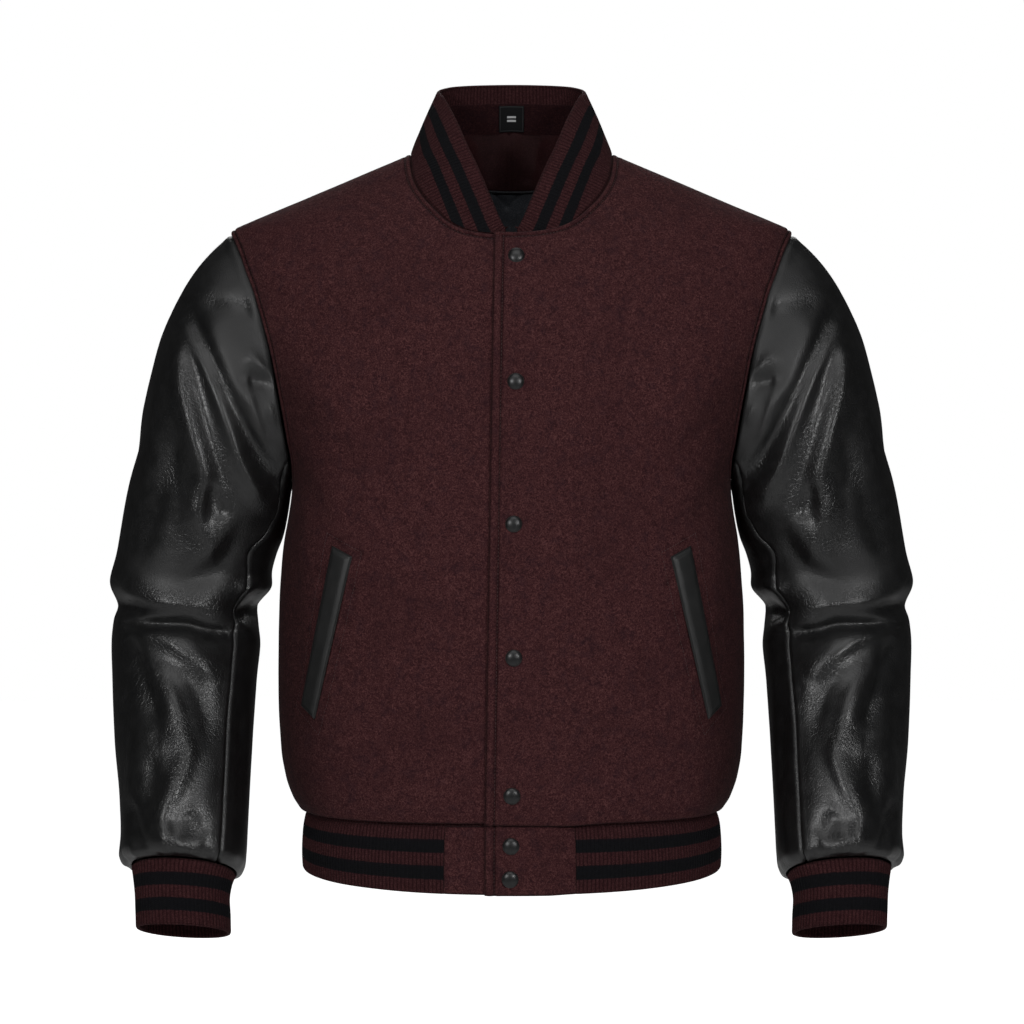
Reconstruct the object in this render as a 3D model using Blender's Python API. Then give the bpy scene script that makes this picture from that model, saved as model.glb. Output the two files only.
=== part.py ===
"""Varsity jacket on a hollow worn form: wool body, leather sleeves, rib trims.

Metres, +Z up. The front faces -Y and the wearer's left is +X. The origin is
the middle of the neck opening, level with the high points of the shoulders.
"""
import math

import bmesh
import bpy
import numpy as np

MM = 0.001
COLLECTION = "varsity_jacket"

# ----- cloth walls, seams and laps -----
WOOL_WALL = 2.4 * MM
LEATHER_WALL = 1.6 * MM
RIB_WALL = 3.2 * MM
LINING_WALL = 1.0 * MM
SEAM_HALF = 0.17 * MM      # each edge is held back this far from its seam
LAP_LIFT = 3.9 * MM        # the over panel rides this far above the under panel
LAP_FULL = 0.045           # full lift to this distance from the centre front
LAP_END = 0.090            # no lift past this distance
UNDER_EDGE = 0.018         # the under panel's hidden edge, past the centre front
OVER_EDGE_TOP = 0.0157     # the over panel's edge past the centre front, at the neck
OVER_EDGE_HEM = 0.0236     # and at the hem

# ----- torso sections -----
# columns: height, half width, front depth, back depth, squareness
TORSO = (
    (-0.6150, 0.1905, 0.1455, 0.1330, 2.40),
    (-0.6080, 0.1985, 0.1495, 0.1385, 2.40),
    (-0.5980, 0.2050, 0.1525, 0.1425, 2.40),
    (-0.5800, 0.2112, 0.1548, 0.1458, 2.38),
    (-0.5560, 0.2152, 0.1560, 0.1468, 2.36),
    (-0.5200, 0.2172, 0.1560, 0.1458, 2.35),
    (-0.4700, 0.2178, 0.1545, 0.1438, 2.35),
    (-0.4200, 0.2168, 0.1525, 0.1418, 2.35),
    (-0.3850, 0.2145, 0.1505, 0.1406, 2.35),
    (-0.3600, 0.2118, 0.1490, 0.1400, 2.35),
    (-0.3400, 0.2085, 0.1480, 0.1398, 2.35),
    (-0.3200, 0.2058, 0.1470, 0.1398, 2.35),
    (-0.3060, 0.2050, 0.1462, 0.1398, 2.35),
    (-0.2900, 0.2090, 0.1453, 0.1397, 2.35),
    (-0.2700, 0.2170, 0.1440, 0.1396, 2.35),
    (-0.2340, 0.2290, 0.1410, 0.1390, 2.35),
    (-0.1880, 0.2420, 0.1345, 0.1370, 2.33),
    (-0.1410, 0.2555, 0.1235, 0.1320, 2.30),
    (-0.1100, 0.2632, 0.1110, 0.1262, 2.27),
    (-0.0900, 0.2650, 0.1000, 0.1220, 2.24),
    (-0.0800, 0.2648, 0.0935, 0.1206, 2.22),
    (-0.0745, 0.2630, 0.0900, 0.1198, 2.22),
    (-0.0700, 0.2575, 0.0868, 0.1190, 2.21),
    (-0.0650, 0.2468, 0.0832, 0.1180, 2.21),
    (-0.0500, 0.2117, 0.0715, 0.1145, 2.20),
    (-0.0300, 0.1649, 0.0560, 0.1080, 2.20),
    (-0.0100, 0.1180, 0.0400, 0.0980, 2.20),
    (0.0000, 0.0946, 0.0320, 0.0930, 2.20),
    (0.0120, 0.0665, 0.0220, 0.0850, 2.20),
    (0.0300, 0.0243, 0.0100, 0.0600, 2.20),
)
# columns: name, height at the centre front, height at the side seam
BODY_ROWS = (
    ("hem_seam", -0.6090, -0.6125),
    ("tuck", -0.6020, -0.6050),
    ("blouse_low", -0.5880, -0.5900),
    ("blouse", -0.5660, -0.5670),
    ("blouse_top", -0.5300, -0.5300),
    ("low_waist", -0.4850, -0.4850),
    ("waist", -0.4400, -0.4400),
    ("high_waist", -0.3980, -0.3980),
    ("rib_cage", -0.3640, -0.3640),
    ("below_arm", -0.3360, -0.3340),
    ("underarm", -0.3060, -0.3060),
)
UNDERARM_Z = -0.3060
# armhole from the underarm up to the shoulder tip
# columns: height, front reach, back reach (shares of the section depth)
ARMHOLE = (
    (-0.3060, 0.000, 0.000),
    (-0.3030, 0.140, 0.140),
    (-0.2930, 0.280, 0.290),
    (-0.2750, 0.380, 0.410),
    (-0.2340, 0.465, 0.510),
    (-0.1880, 0.488, 0.535),
    (-0.1410, 0.468, 0.520),
    (-0.1050, 0.396, 0.450),
    (-0.0830, 0.253, 0.300),
    (-0.0745, 0.000, 0.000),
)
ARMHOLE_STEPS = 12
# front neckline from the centre front to the high shoulder point
# columns: height, distance from the centre
NECK_FRONT = (
    (-0.0861, 0.0000),
    (-0.0852, 0.0200),
    (-0.0812, 0.0409),
    (-0.0739, 0.0555),
    (-0.0603, 0.0695),
    (-0.0430, 0.0830),
    (-0.0239, 0.0914),
    (0.0000, 0.0946),
)
NECK_FRONT_STEPS = 7
# back neckline from the centre back to the high shoulder point
# columns: height, share of the section's half width
NECK_BACK = (
    (0.0120, 0.000),
    (0.0095, 0.420),
    (0.0060, 0.720),
    (0.0030, 0.900),
    (0.0010, 0.975),
    (0.0000, 1.000),
)
NECK_BACK_STEPS = 5
FRONT_COLUMNS = 10
BACK_COLUMNS = 9

# ----- sleeve -----
# columns: name, outer x, outer z, inner x, inner z, middle y, depth, pitch in degrees
SLEEVE_RINGS = (
    ("bicep", 0.3510, -0.2676, 0.2090, -0.3270, 0.004, 0.146, 0.0),
    ("arm", 0.3631, -0.3242, 0.2154, -0.3574, 0.011, 0.148, 0.0),
    ("above_elbow", 0.3721, -0.3716, 0.2233, -0.3764, 0.017, 0.150, 2.0),
    ("elbow", 0.3787, -0.4020, 0.2309, -0.4020, 0.020, 0.150, 6.0),
    ("below_elbow", 0.3750, -0.4330, 0.2398, -0.4359, 0.016, 0.146, 12.0),
    ("forearm_top", 0.3761, -0.4608, 0.2377, -0.4608, 0.008, 0.142, 18.0),
    ("forearm", 0.3737, -0.4928, 0.2400, -0.4928, -0.004, 0.138, 22.0),
    ("forearm_low", 0.3680, -0.5467, 0.2411, -0.5467, -0.027, 0.132, 22.0),
    ("wrist_top", 0.3595, -0.5960, 0.2413, -0.5994, -0.050, 0.126, 23.0),
    ("wrist", 0.3550, -0.6300, 0.2410, -0.6330, -0.066, 0.120, 24.0),
    ("gather", 0.3545, -0.6480, 0.2415, -0.6520, -0.0745, 0.116, 24.0),
    ("curl", 0.3500, -0.6550, 0.2450, -0.6595, -0.0780, 0.106, 24.0),
    ("hem", 0.3430, -0.6570, 0.2490, -0.6620, -0.0790, 0.092, 24.0),
)
CUFF_RINGS = (
    ("join", 0.3425, -0.6580, 0.2495, -0.6630, -0.0796, 0.090, 24.0),
    ("upper", 0.3405, -0.6680, 0.2530, -0.6720, -0.0830, 0.086, 22.0),
    ("upper_stripe", 0.3387, -0.6810, 0.2545, -0.6850, -0.0875, 0.083, 20.0),
    ("lower_stripe", 0.3375, -0.6950, 0.2530, -0.6990, -0.0925, 0.083, 19.0),
    ("end", 0.3360, -0.7100, 0.2520, -0.7135, -0.0975, 0.083, 19.0),
)
# how the sleeve head leaves the armhole, round from the shoulder tip
# columns: angle, leave x, leave y, leave z, arrive length
SLEEVE_HEAD = (
    (0.0, 0.180, 0.000, -0.140, 0.200),
    (45.0, 0.160, -0.050, -0.100, 0.170),
    (90.0, 0.120, -0.045, -0.060, 0.130),
    (135.0, 0.045, -0.022, -0.040, 0.070),
    (180.0, 0.006, 0.000, -0.018, 0.020),
    (225.0, 0.045, 0.022, -0.040, 0.070),
    (270.0, 0.120, 0.045, -0.060, 0.130),
    (315.0, 0.160, 0.050, -0.100, 0.170),
)
SLEEVE_STEPS = 24          # round the arm; 0 is the outside, 6 the front, 12 the underarm
HEAD_STEPS = 5
SLEEVE_STATIONS = (0.0, 1.0, 1.7, 2.3, 3.0, 3.6, 4.3, 5.2, 6.2, 7.2, 8.2, 9.0, 10.0, 11.0, 12.0)
FRONT_SEAM_STEP = 9        # the seam between top sleeve and under sleeve, in front
BACK_SEAM_STEP = 16        # and behind

# main creases of the sleeve, as lines seen from the front (side -1) or back (+1)
# columns: name, side, x1, z1, x2, z2, x3, z3, half width, height
CREASES = (
    ("front_trough", -1, 0.304, -0.145, 0.272, -0.212, 0.226, -0.303, 0.017, -0.0060),
    ("front_ridge", -1, 0.311, -0.170, 0.280, -0.235, 0.235, -0.310, 0.015, 0.0045),
    ("outer_ridge", -1, 0.303, -0.190, 0.295, -0.270, 0.293, -0.330, 0.014, 0.0040),
    ("elbow_crease", -1, 0.345, -0.436, 0.310, -0.438, 0.262, -0.448, 0.014, -0.0055),
    ("elbow_ridge", -1, 0.370, -0.400, 0.330, -0.410, 0.262, -0.424, 0.015, 0.0050),
    ("forearm_ridge", -1, 0.330, -0.487, 0.302, -0.545, 0.322, -0.612, 0.017, 0.0045),
    ("outer_trough", -1, 0.362, -0.450, 0.352, -0.480, 0.336, -0.512, 0.014, -0.0045),
    ("back_elbow", 1, 0.365, -0.420, 0.320, -0.410, 0.262, -0.425, 0.018, -0.0050),
    ("back_ridge", 1, 0.350, -0.330, 0.300, -0.370, 0.250, -0.380, 0.018, 0.0045),
    ("back_trough", 1, 0.330, -0.160, 0.290, -0.230, 0.245, -0.300, 0.018, -0.0050),
)

# ----- waistband -----
# columns: height at the side, half width, front depth, back depth
WAISTBAND = (
    (-0.6133, 0.1912, 0.1460, 0.1336),
    (-0.6290, 0.1945, 0.1490, 0.1368),
    (-0.6480, 0.1955, 0.1505, 0.1385),
    (-0.6650, 0.1948, 0.1500, 0.1380),
)
WAISTBAND_SQUARE = 2.45
HEM_TOP_RISE = 0.0037      # the top edge is this much higher at the centre front
HEM_DIP = 0.0058           # the bottom edge is this much lower at the centre front
TAB_RIGHT_END = 0.0599     # the wearer's right tab meets the rib here
TAB_LEFT_END = 0.0573      # the wearer's left tab meets the rib here
RIB_STEPS = 34

# ----- collar -----
# columns: share of the neck seam, free edge x, y, z
COLLAR_EDGE = (
    (0.000, 0.0055, -0.0995, -0.0812),
    (0.128, 0.0112, -0.0950, -0.0690),
    (0.184, 0.0158, -0.0905, -0.0576),
    (0.254, 0.0226, -0.0845, -0.0411),
    (0.340, 0.0307, -0.0745, -0.0216),
    (0.423, 0.0392, -0.0620, -0.0030),
    (0.490, 0.0530, -0.0330, 0.0310),
    (0.562, 0.0655, 0.0000, 0.0567),
    (0.660, 0.0695, 0.0230, 0.0655),
    (0.780, 0.0590, 0.0430, 0.0725),
    (0.900, 0.0310, 0.0575, 0.0770),
    (1.000, 0.0000, 0.0620, 0.0783),
)
COLLAR_ROWS = (0.0, 0.22, 0.48, 0.74, 1.0)
COLLAR_ROLL = 0.0025
COLLAR_END = (0.0045, 0.0016)   # the front end stops short of the centre, and above it

# ----- pockets, snaps and neck lining -----
# corners of the right welt from its upper outer corner; columns: name, distance from centre, height
WELT_CORNERS = (
    ("upper_outer", 0.1587, -0.3656),
    ("upper_inner", 0.1402, -0.3753),
    ("lower_inner", 0.1746, -0.5208),
    ("lower_outer", 0.1875, -0.5093),
)
WELT_WALL = 3.0 * MM
WELT_STEPS = 7
SNAP_RADIUS = 7.4 * MM
SNAP_HEIGHT = 3.2 * MM
# columns: name, x, height
SNAPS = (
    ("snap_1", 0.0044, -0.1075),
    ("snap_2", 0.0038, -0.2211),
    ("snap_3", 0.0020, -0.3461),
    ("snap_4", 0.0020, -0.4627),
    ("snap_5", 0.0004, -0.5828),
    ("snap_6", -0.0004, -0.6273),
    ("snap_7", -0.0012, -0.6560),
)
FACING_ROWS = (0.745, 0.52, 0.30)     # shares of the collar height, top to bottom
LABEL_HALF = 0.0122
# neck lining rows under the facing; columns: height, back y, half width, side y, sag
YOKE_ROWS = (
    (0.0150, 0.0745, 0.0660, 0.020, 0.000),
    (-0.0050, 0.0760, 0.0680, 0.020, 0.002),
    (-0.0180, 0.0775, 0.0690, 0.020, 0.005),
)
LOWER_ROWS = (
    (-0.0205, 0.0780, 0.0690, 0.020, 0.005),
    (-0.0500, 0.0820, 0.0760, 0.024, 0.003),
    (-0.0900, 0.0870, 0.0840, 0.028, 0.000),
    (-0.1400, 0.0920, 0.0900, 0.030, 0.000),
)

# columns: slot, colour, roughness, metallic
FINISHES = {
    "maroon_wool": ((0.042, 0.014, 0.015), 0.95, 0.0),
    "black_leather": ((0.016, 0.016, 0.016), 0.42, 0.0),
    "striped_rib": ((0.020, 0.006, 0.007), 0.95, 0.0),
    "black_enamel": ((0.010, 0.010, 0.011), 0.28, 0.0),
    "label_weave": ((0.008, 0.008, 0.009), 0.85, 0.0),
    "maroon_lining": ((0.030, 0.009, 0.010), 0.70, 0.0),
    "black_lining": ((0.011, 0.011, 0.012), 0.75, 0.0),
}


# ---------------------------------------------------------------- curves
def smooth_table(keys, values, at):
    """Read a table at the given keys through a smooth curve without overshoot."""
    x = np.asarray(keys, float)
    y = np.asarray(values, float)
    flat = y.ndim == 1
    y = y[:, None] if flat else y
    at = np.clip(np.asarray(at, float), x[0], x[-1])
    step = np.diff(x)[:, None]
    rise = np.diff(y, axis=0) / step
    m1 = 2 * rise[0] - rise[1] if len(rise) > 1 else rise[0]
    m0 = 2 * m1 - rise[0]
    n1 = 2 * rise[-1] - rise[-2] if len(rise) > 1 else rise[-1]
    n2 = 2 * n1 - rise[-1]
    m = np.vstack([m0, m1, rise, n1, n2])
    w1 = np.abs(m[3:] - m[2:-1]) + np.abs(m[3:] + m[2:-1]) / 2 + 1e-12
    w2 = np.abs(m[1:-2] - m[:-3]) + np.abs(m[1:-2] + m[:-3]) / 2 + 1e-12
    slope = (w1 * m[1:-2] + w2 * m[2:-1]) / (w1 + w2)
    i = np.clip(np.searchsorted(x, at, side="right") - 1, 0, len(x) - 2)
    h = (x[i + 1] - x[i])[..., None]
    t = ((at - x[i])[..., None]) / h
    out = (y[i] * (2 * t**3 - 3 * t**2 + 1) + slope[i] * h * (t**3 - 2 * t**2 + t)
           + y[i + 1] * (-2 * t**3 + 3 * t**2) + slope[i + 1] * h * (t**3 - t**2))
    return out[..., 0] if flat else out


def smoothstep(edge0, edge1, value):
    """Return 0 at edge0, 1 at edge1 and a soft curve between."""
    t = np.clip((np.asarray(value, float) - edge0) / (edge1 - edge0), 0.0, 1.0)
    return t * t * (3 - 2 * t)


def unit(vectors):
    """Scale vectors to unit length along the last axis."""
    length = np.linalg.norm(vectors, axis=-1, keepdims=True)
    return vectors / np.maximum(length, 1e-12)


def resample(points, count):
    """Return count + 1 points spaced evenly along a polyline."""
    gaps = np.linalg.norm(np.diff(points, axis=0), axis=1)
    run = np.concatenate([[0.0], np.cumsum(gaps)])
    return run, np.linspace(0.0, run[-1], count + 1)


# ---------------------------------------------------------------- torso
_T = np.array(TORSO)


def section(z):
    """Return half width, front depth, back depth and squareness at heights z."""
    return np.moveaxis(smooth_table(_T[:, 0], _T[:, 1:], z), -1, 0)


def angle_of(share, squareness):
    """Turn a share of the half width into the angle round a section."""
    share = np.clip(np.asarray(share, float), -1.0, 1.0)
    rest = np.power(np.maximum(1 - np.abs(share) ** squareness, 0.0), 1 / squareness)
    return np.arctan2(share, rest)


def torso(angle, z, back=False):
    """Return torso points; angle 0 is the centre line and 90 degrees the side."""
    angle = np.asarray(angle, float)
    width, front, rear, n = section(z)
    s, c = np.sin(angle), np.cos(angle)
    r = (np.abs(s) ** n + np.abs(c) ** n) ** (-1 / n)
    y = rear * r * c if back else -front * r * c
    return np.stack([width * r * s, y, np.broadcast_to(z, np.shape(y)) + 0.0 * y], -1)


def torso_normal(angle, z, back=False):
    """Return outward unit normals of the torso."""
    da, dz = 1e-4, 1e-4
    across = torso(angle + da, z, back) - torso(angle - da, z, back)
    up = torso(angle, z + dz, back) - torso(angle, z - dz, back)
    normal = np.cross(up, across) if back else np.cross(across, up)
    return unit(normal)


def angle_at(x, z):
    """Return the torso angle where the section at height z has this x."""
    width, _, _, n = section(z)
    return angle_of(np.asarray(x) / width, n)


def armhole_path(back):
    """Return (angle, z) pairs from the underarm to the shoulder tip."""
    table = np.array(ARMHOLE)
    keys = np.arange(len(table), dtype=float)
    fine = np.linspace(0, keys[-1], 400)
    z = smooth_table(keys, table[:, 0], fine)
    reach = smooth_table(keys, table[:, 2 if back else 1], fine)
    n = section(z)[3]
    share = np.power(1 - np.clip(reach, 0, 1) ** n, 1 / n)
    angle = np.arctan2(share, reach)
    run, stops = resample(torso(angle, z, back), ARMHOLE_STEPS)
    return np.interp(stops, run, angle), np.interp(stops, run, z)


def neckline_path(back):
    """Return (angle, z) pairs from the centre line to the high shoulder point."""
    table = np.array(NECK_BACK if back else NECK_FRONT)
    keys = np.arange(len(table), dtype=float)
    fine = np.linspace(0, keys[-1], 300)
    z = smooth_table(keys, table[:, 0], fine)
    width, _, _, n = section(z)
    across = smooth_table(keys, table[:, 1], fine)
    angle = angle_of(across if back else across / width, n)
    run, stops = resample(torso(angle, z, back), NECK_BACK_STEPS if back else NECK_FRONT_STEPS)
    return np.interp(stops, run, angle), np.interp(stops, run, z)


def panel_domain(back, edge_top=0.0, edge_hem=0.0):
    """Return the (angle, z) grid of a half panel, rows from hem to shoulder.

    edge_top and edge_hem carry the inner edge past the centre line.
    """
    arm_angle, arm_z = armhole_path(back)
    neck_angle, neck_z = neckline_path(back)
    low_left = [row[1] for row in BODY_ROWS]
    low_right = [row[2] for row in BODY_ROWS]
    centre_steps = ARMHOLE_STEPS - (NECK_BACK_STEPS if back else NECK_FRONT_STEPS)
    crowd = 1 - (1 - np.linspace(0, 1, centre_steps + 1)[1:-1]) ** 1.5
    rise = UNDERARM_Z + (neck_z[0] - UNDERARM_Z) * crowd
    left_z = np.concatenate([low_left, rise, neck_z])
    share = (left_z - left_z[0]) / (neck_z[0] - left_z[0])
    edge = edge_hem + (edge_top - edge_hem) * np.clip(share, 0, 1)
    left_angle = angle_at(-edge, left_z)
    left_angle[-len(neck_z) + 1:] = neck_angle[1:]
    right_z = np.concatenate([low_right, arm_z[1:]])
    right_angle = np.concatenate([np.full(len(low_right), math.pi / 2), arm_angle[1:]])
    columns = BACK_COLUMNS if back else FRONT_COLUMNS
    u = np.linspace(0, 1, columns + 1)[None, :]
    angle = left_angle[:, None] * (1 - u) + right_angle[:, None] * u
    z = left_z[:, None] * (1 - u) + right_z[:, None] * u
    return angle, z


def lap_lift(x):
    """Return how far the over panel rides out at this distance from the centre."""
    return LAP_LIFT * (1 - smoothstep(LAP_FULL, LAP_END, x))


def mirrored(grid):
    """Mirror points or normals from the left half to the right half."""
    return grid * np.array([-1.0, 1.0, 1.0])


# ---------------------------------------------------------------- sleeve
def armhole_loop():
    """Return the armhole points and body normals round the sleeve's steps."""
    front_angle, front_z = armhole_path(False)
    back_angle, back_z = armhole_path(True)
    front = torso(front_angle, front_z)[::-1]
    back = torso(back_angle, back_z, True)
    normals = torso_normal(front_angle, front_z)[::-1]
    back_normals = torso_normal(back_angle, back_z, True)
    return (np.vstack([front, back[1:-1]]), np.vstack([normals, back_normals[1:-1]]))


def ring_points(table, station, angles):
    """Return ring points of a sleeve or cuff table at fractional stations."""
    data = np.array([row[1:] for row in table], float)
    row = smooth_table(np.arange(len(data), dtype=float), data, station)
    outer = np.stack([row[..., 0], 0 * row[..., 0], row[..., 1]], -1)
    inner = np.stack([row[..., 2], 0 * row[..., 0], row[..., 3]], -1)
    middle = (outer + inner) / 2
    middle[..., 1] = row[..., 4]
    side = (outer - inner) / 2
    pitch = np.radians(row[..., 6])
    front = np.stack([0 * pitch, -np.cos(pitch), np.sin(pitch)], -1) * (row[..., 5] / 2)[..., None]
    c, s = np.cos(angles), np.sin(angles)
    round_off = (np.abs(c) ** 2.12 + np.abs(s) ** 2.12) ** (-1 / 2.12)
    return middle + side * (c * round_off)[..., None] + front * (s * round_off)[..., None]


def sleeve_grid():
    """Return sleeve points, rings by steps, with the body normals at the armhole."""
    steps = np.arange(SLEEVE_STEPS)
    angles = 2 * math.pi * steps / SLEEVE_STEPS
    loop, body_normals = armhole_loop()
    head = np.array(SLEEVE_HEAD)
    wrapped = np.vstack([head, head[0] + np.array([360.0, 0, 0, 0, 0])])
    leave = smooth_table(wrapped[:, 0], wrapped[:, 1:], np.degrees(angles))
    first = ring_points(SLEEVE_RINGS, np.zeros(SLEEVE_STEPS), angles)
    ahead = ring_points(SLEEVE_RINGS, np.full(SLEEVE_STEPS, 0.05), angles)
    arrive = unit(ahead - first) * leave[:, 3:4]
    rings = []
    for t in np.linspace(0, 1, HEAD_STEPS + 1)[:-1]:
        rings.append(loop * (2 * t**3 - 3 * t**2 + 1) + leave[:, :3] * (t**3 - 2 * t**2 + t)
                     + first * (-2 * t**3 + 3 * t**2) + arrive * (t**3 - t**2))
    for station in SLEEVE_STATIONS:
        rings.append(ring_points(SLEEVE_RINGS, np.full(SLEEVE_STEPS, station), angles))
    return np.array(rings), body_normals


def tube_normals(grid):
    """Return outward normals of a tube of rings that closes round its steps."""
    round_arm = np.roll(grid, -1, 1) - np.roll(grid, 1, 1)
    along = np.gradient(grid, axis=0)
    return unit(np.cross(round_arm, along))


def crease_field(points, normals):
    """Return how far creases move sleeve points along their normals."""
    move = np.zeros(points.shape[:-1])
    flat = points[..., [0, 2]]
    for _, side, x1, z1, x2, z2, x3, z3, width, height in CREASES:
        t = np.linspace(0, 1, 13)[:, None]
        line = ((1 - t) ** 2 * np.array([x1, z1]) + 2 * t * (1 - t) * np.array([x2, z2])
                + t**2 * np.array([x3, z3]))
        gap = np.linalg.norm(flat[..., None, :] - line, axis=-1)
        taper = np.sin(np.pi * (0.12 + 0.76 * t[:, 0]))
        shape = (np.exp(-((gap / width) ** 2)) * taper).max(-1)
        facing = smoothstep(0.1, 0.6, normals[..., 1] * side)
        move += height * shape * facing
    return move


# ---------------------------------------------------------------- collar
def collar_grid():
    """Return one half of the collar, centre front to centre back, seam to free edge."""
    front_angle, front_z = neckline_path(False)
    back_angle, back_z = neckline_path(True)
    seam = np.vstack([torso(front_angle, front_z), torso(back_angle, back_z, True)[::-1][1:]])
    seam_normals = np.vstack([torso_normal(front_angle, front_z),
                              torso_normal(back_angle, back_z, True)[::-1][1:]])
    seam[0] += np.array([COLLAR_END[0], 0.0, COLLAR_END[1]])
    run = np.concatenate([[0], np.cumsum(np.linalg.norm(np.diff(seam, axis=0), axis=1))])
    share = run / run[-1]
    table = np.array(COLLAR_EDGE)
    edge = smooth_table(table[:, 0], table[:, 1:], share)
    rows = np.array(COLLAR_ROWS)[None, :, None]
    grid = seam[:, None] * (1 - rows) + edge[:, None] * rows
    along = np.gradient(grid, axis=0)
    across = np.gradient(grid, axis=1)
    normals = unit(np.cross(along, across))
    roll = COLLAR_ROLL * np.sin(np.pi * rows) * smoothstep(0.1, 0.4, share)[:, None, None]
    grid = grid + normals * roll
    normals[:, 0] = seam_normals
    normals[-1, :, 0] = 0.0
    normals = unit(normals)
    return grid, normals


# ---------------------------------------------------------------- waistband
def band_point(angle, row, back):
    """Return waistband points at fractional rows, 0 at the top."""
    table = np.array(WAISTBAND)
    z, width, front, rear = np.moveaxis(
        smooth_table(np.arange(4, dtype=float), table, row), -1, 0)
    n = WAISTBAND_SQUARE
    s, c = np.sin(angle), np.cos(angle)
    r = (np.abs(s) ** n + np.abs(c) ** n) ** (-1 / n)
    share = np.asarray(row) / 3.0
    turn = 1 - np.abs(angle) / (math.pi / 2)
    height = z + HEM_TOP_RISE * turn * (1 - share) - HEM_DIP * c * c * share
    y = rear * r * c if back else -front * r * c
    return np.stack([width * r * s, y, height], -1)


def band_angle(x):
    """Return the angle round the waistband at this x."""
    return float(angle_of(x / 0.1950, WAISTBAND_SQUARE))


def grid_normals(grid):
    """Return normals of an open grid, rows by columns."""
    return unit(np.cross(np.gradient(grid, axis=1), np.gradient(grid, axis=0)))


# ---------------------------------------------------------------- meshes
def quads_of(rows, columns, closed=False):
    """Return the faces of a grid with the given numbers of points."""
    faces = []
    last = columns if closed else columns - 1
    for i in range(rows - 1):
        for j in range(last):
            k = (j + 1) % columns
            faces.append((i * columns + j, i * columns + k,
                          (i + 1) * columns + k, (i + 1) * columns + j))
    return faces


def rim_edges(faces):
    """Return the directed edges that belong to one face only."""
    edges = {(a, b) for face in faces for a, b in zip(face, face[1:] + face[:1])}
    return sorted((a, b) for a, b in edges if (b, a) not in edges)


def hold_back(points, normals, faces, rims, amount):
    """Pull every rim in along the cloth, so that seams keep their gap."""
    corners = np.array([points[list(f)[:3]] for f in faces])
    facing = np.cross(corners[:, 1] - corners[:, 0], corners[:, 2] - corners[:, 0])
    side = np.sign((facing * normals[[f[0] for f in faces]]).sum())
    pulls = {}
    for a, b in rims:
        along = unit(points[b] - points[a])
        pull = side * unit(np.cross(normals[a] + normals[b], along))
        pulls.setdefault(a, []).append(pull)
        pulls.setdefault(b, []).append(pull)
    out = points.copy()
    for k, (first, second) in pulls.items():
        way = unit(first + second)
        out[k] += way * amount / max(float(way @ first), 0.4)
    return out


def wall_solid(name, slot, points, normals, faces, thickness, hold=SEAM_HALF):
    """Make a closed cloth wall: the outer face, an inner face and its edges."""
    count = len(points)
    rims = rim_edges(faces)
    points = hold_back(points, normals, faces, rims, hold)
    inner = points - normals * thickness
    mesh_faces = [tuple(f) for f in faces]
    mesh_faces += [tuple(i + count for i in reversed(f)) for f in faces]
    mesh_faces += [(b, a, a + count, b + count) for a, b in rims]
    mesh = bpy.data.meshes.new(name)
    mesh.from_pydata(np.vstack([points, inner]).tolist(), [], mesh_faces)
    finish_object(name, slot, mesh)


def finish_object(name, slot, mesh):
    """Face a mesh outward, give it its finish and place it in the collection."""
    bm = bmesh.new()
    bm.from_mesh(mesh)
    bmesh.ops.recalc_face_normals(bm, faces=bm.faces)
    bm.to_mesh(mesh)
    bm.free()
    mesh.materials.append(bpy.data.materials[slot])
    bpy.data.collections[COLLECTION].objects.link(bpy.data.objects.new(name, mesh))


def grid_wall(name, slot, grid, normals, thickness, hold=SEAM_HALF):
    """Make a wall from a grid of points and normals."""
    rows, columns = grid.shape[:2]
    wall_solid(name, slot, grid.reshape(-1, 3), normals.reshape(-1, 3),
               quads_of(rows, columns), thickness, hold)


def make_finishes():
    """Make one material for each slot."""
    for slot, (colour, roughness, metallic) in FINISHES.items():
        material = bpy.data.materials.new(slot)
        material.use_nodes = True
        shader = material.node_tree.nodes["Principled BSDF"]
        shader.inputs["Base Color"].default_value = (*colour, 1.0)
        shader.inputs["Roughness"].default_value = roughness
        shader.inputs["Metallic"].default_value = metallic
        material.diffuse_color = (*colour, 1.0)


# ---------------------------------------------------------------- pieces
def build_fronts():
    """Make the left front over the right front."""
    angle, z = panel_domain(False, OVER_EDGE_TOP, OVER_EDGE_HEM)
    grid, normals = torso(angle, z), torso_normal(angle, z)
    grid = grid + normals * lap_lift(grid[..., 0])[..., None]
    grid_wall("front_left", "maroon_wool", grid, normals, WOOL_WALL)
    angle, z = panel_domain(False, UNDER_EDGE, UNDER_EDGE)
    grid, normals = torso(angle, z), torso_normal(angle, z)
    grid_wall("front_right", "maroon_wool", mirrored(grid), mirrored(normals), WOOL_WALL)


def build_back():
    """Make the back in one piece, split only at the neck opening."""
    angle, z = panel_domain(True)
    grid, normals = torso(angle, z, True), torso_normal(angle, z, True)
    rows, columns = grid.shape[:2]
    open_row = rows - 1 - NECK_BACK_STEPS
    half = quads_of(rows, columns)
    count = rows * columns
    merge = {count + i * columns: i * columns for i in range(open_row + 1)}
    other = [tuple(merge.get(k + count, k + count) for k in reversed(f)) for f in half]
    points = np.vstack([grid.reshape(-1, 3), mirrored(grid).reshape(-1, 3)])
    both = np.vstack([normals.reshape(-1, 3), mirrored(normals).reshape(-1, 3)])
    used = sorted({k for f in half + other for k in f})
    index = {k: i for i, k in enumerate(used)}
    faces = [tuple(index[k] for k in f) for f in half + other]
    wall_solid("back", "maroon_wool", points[used], both[used], faces, WOOL_WALL)


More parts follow.
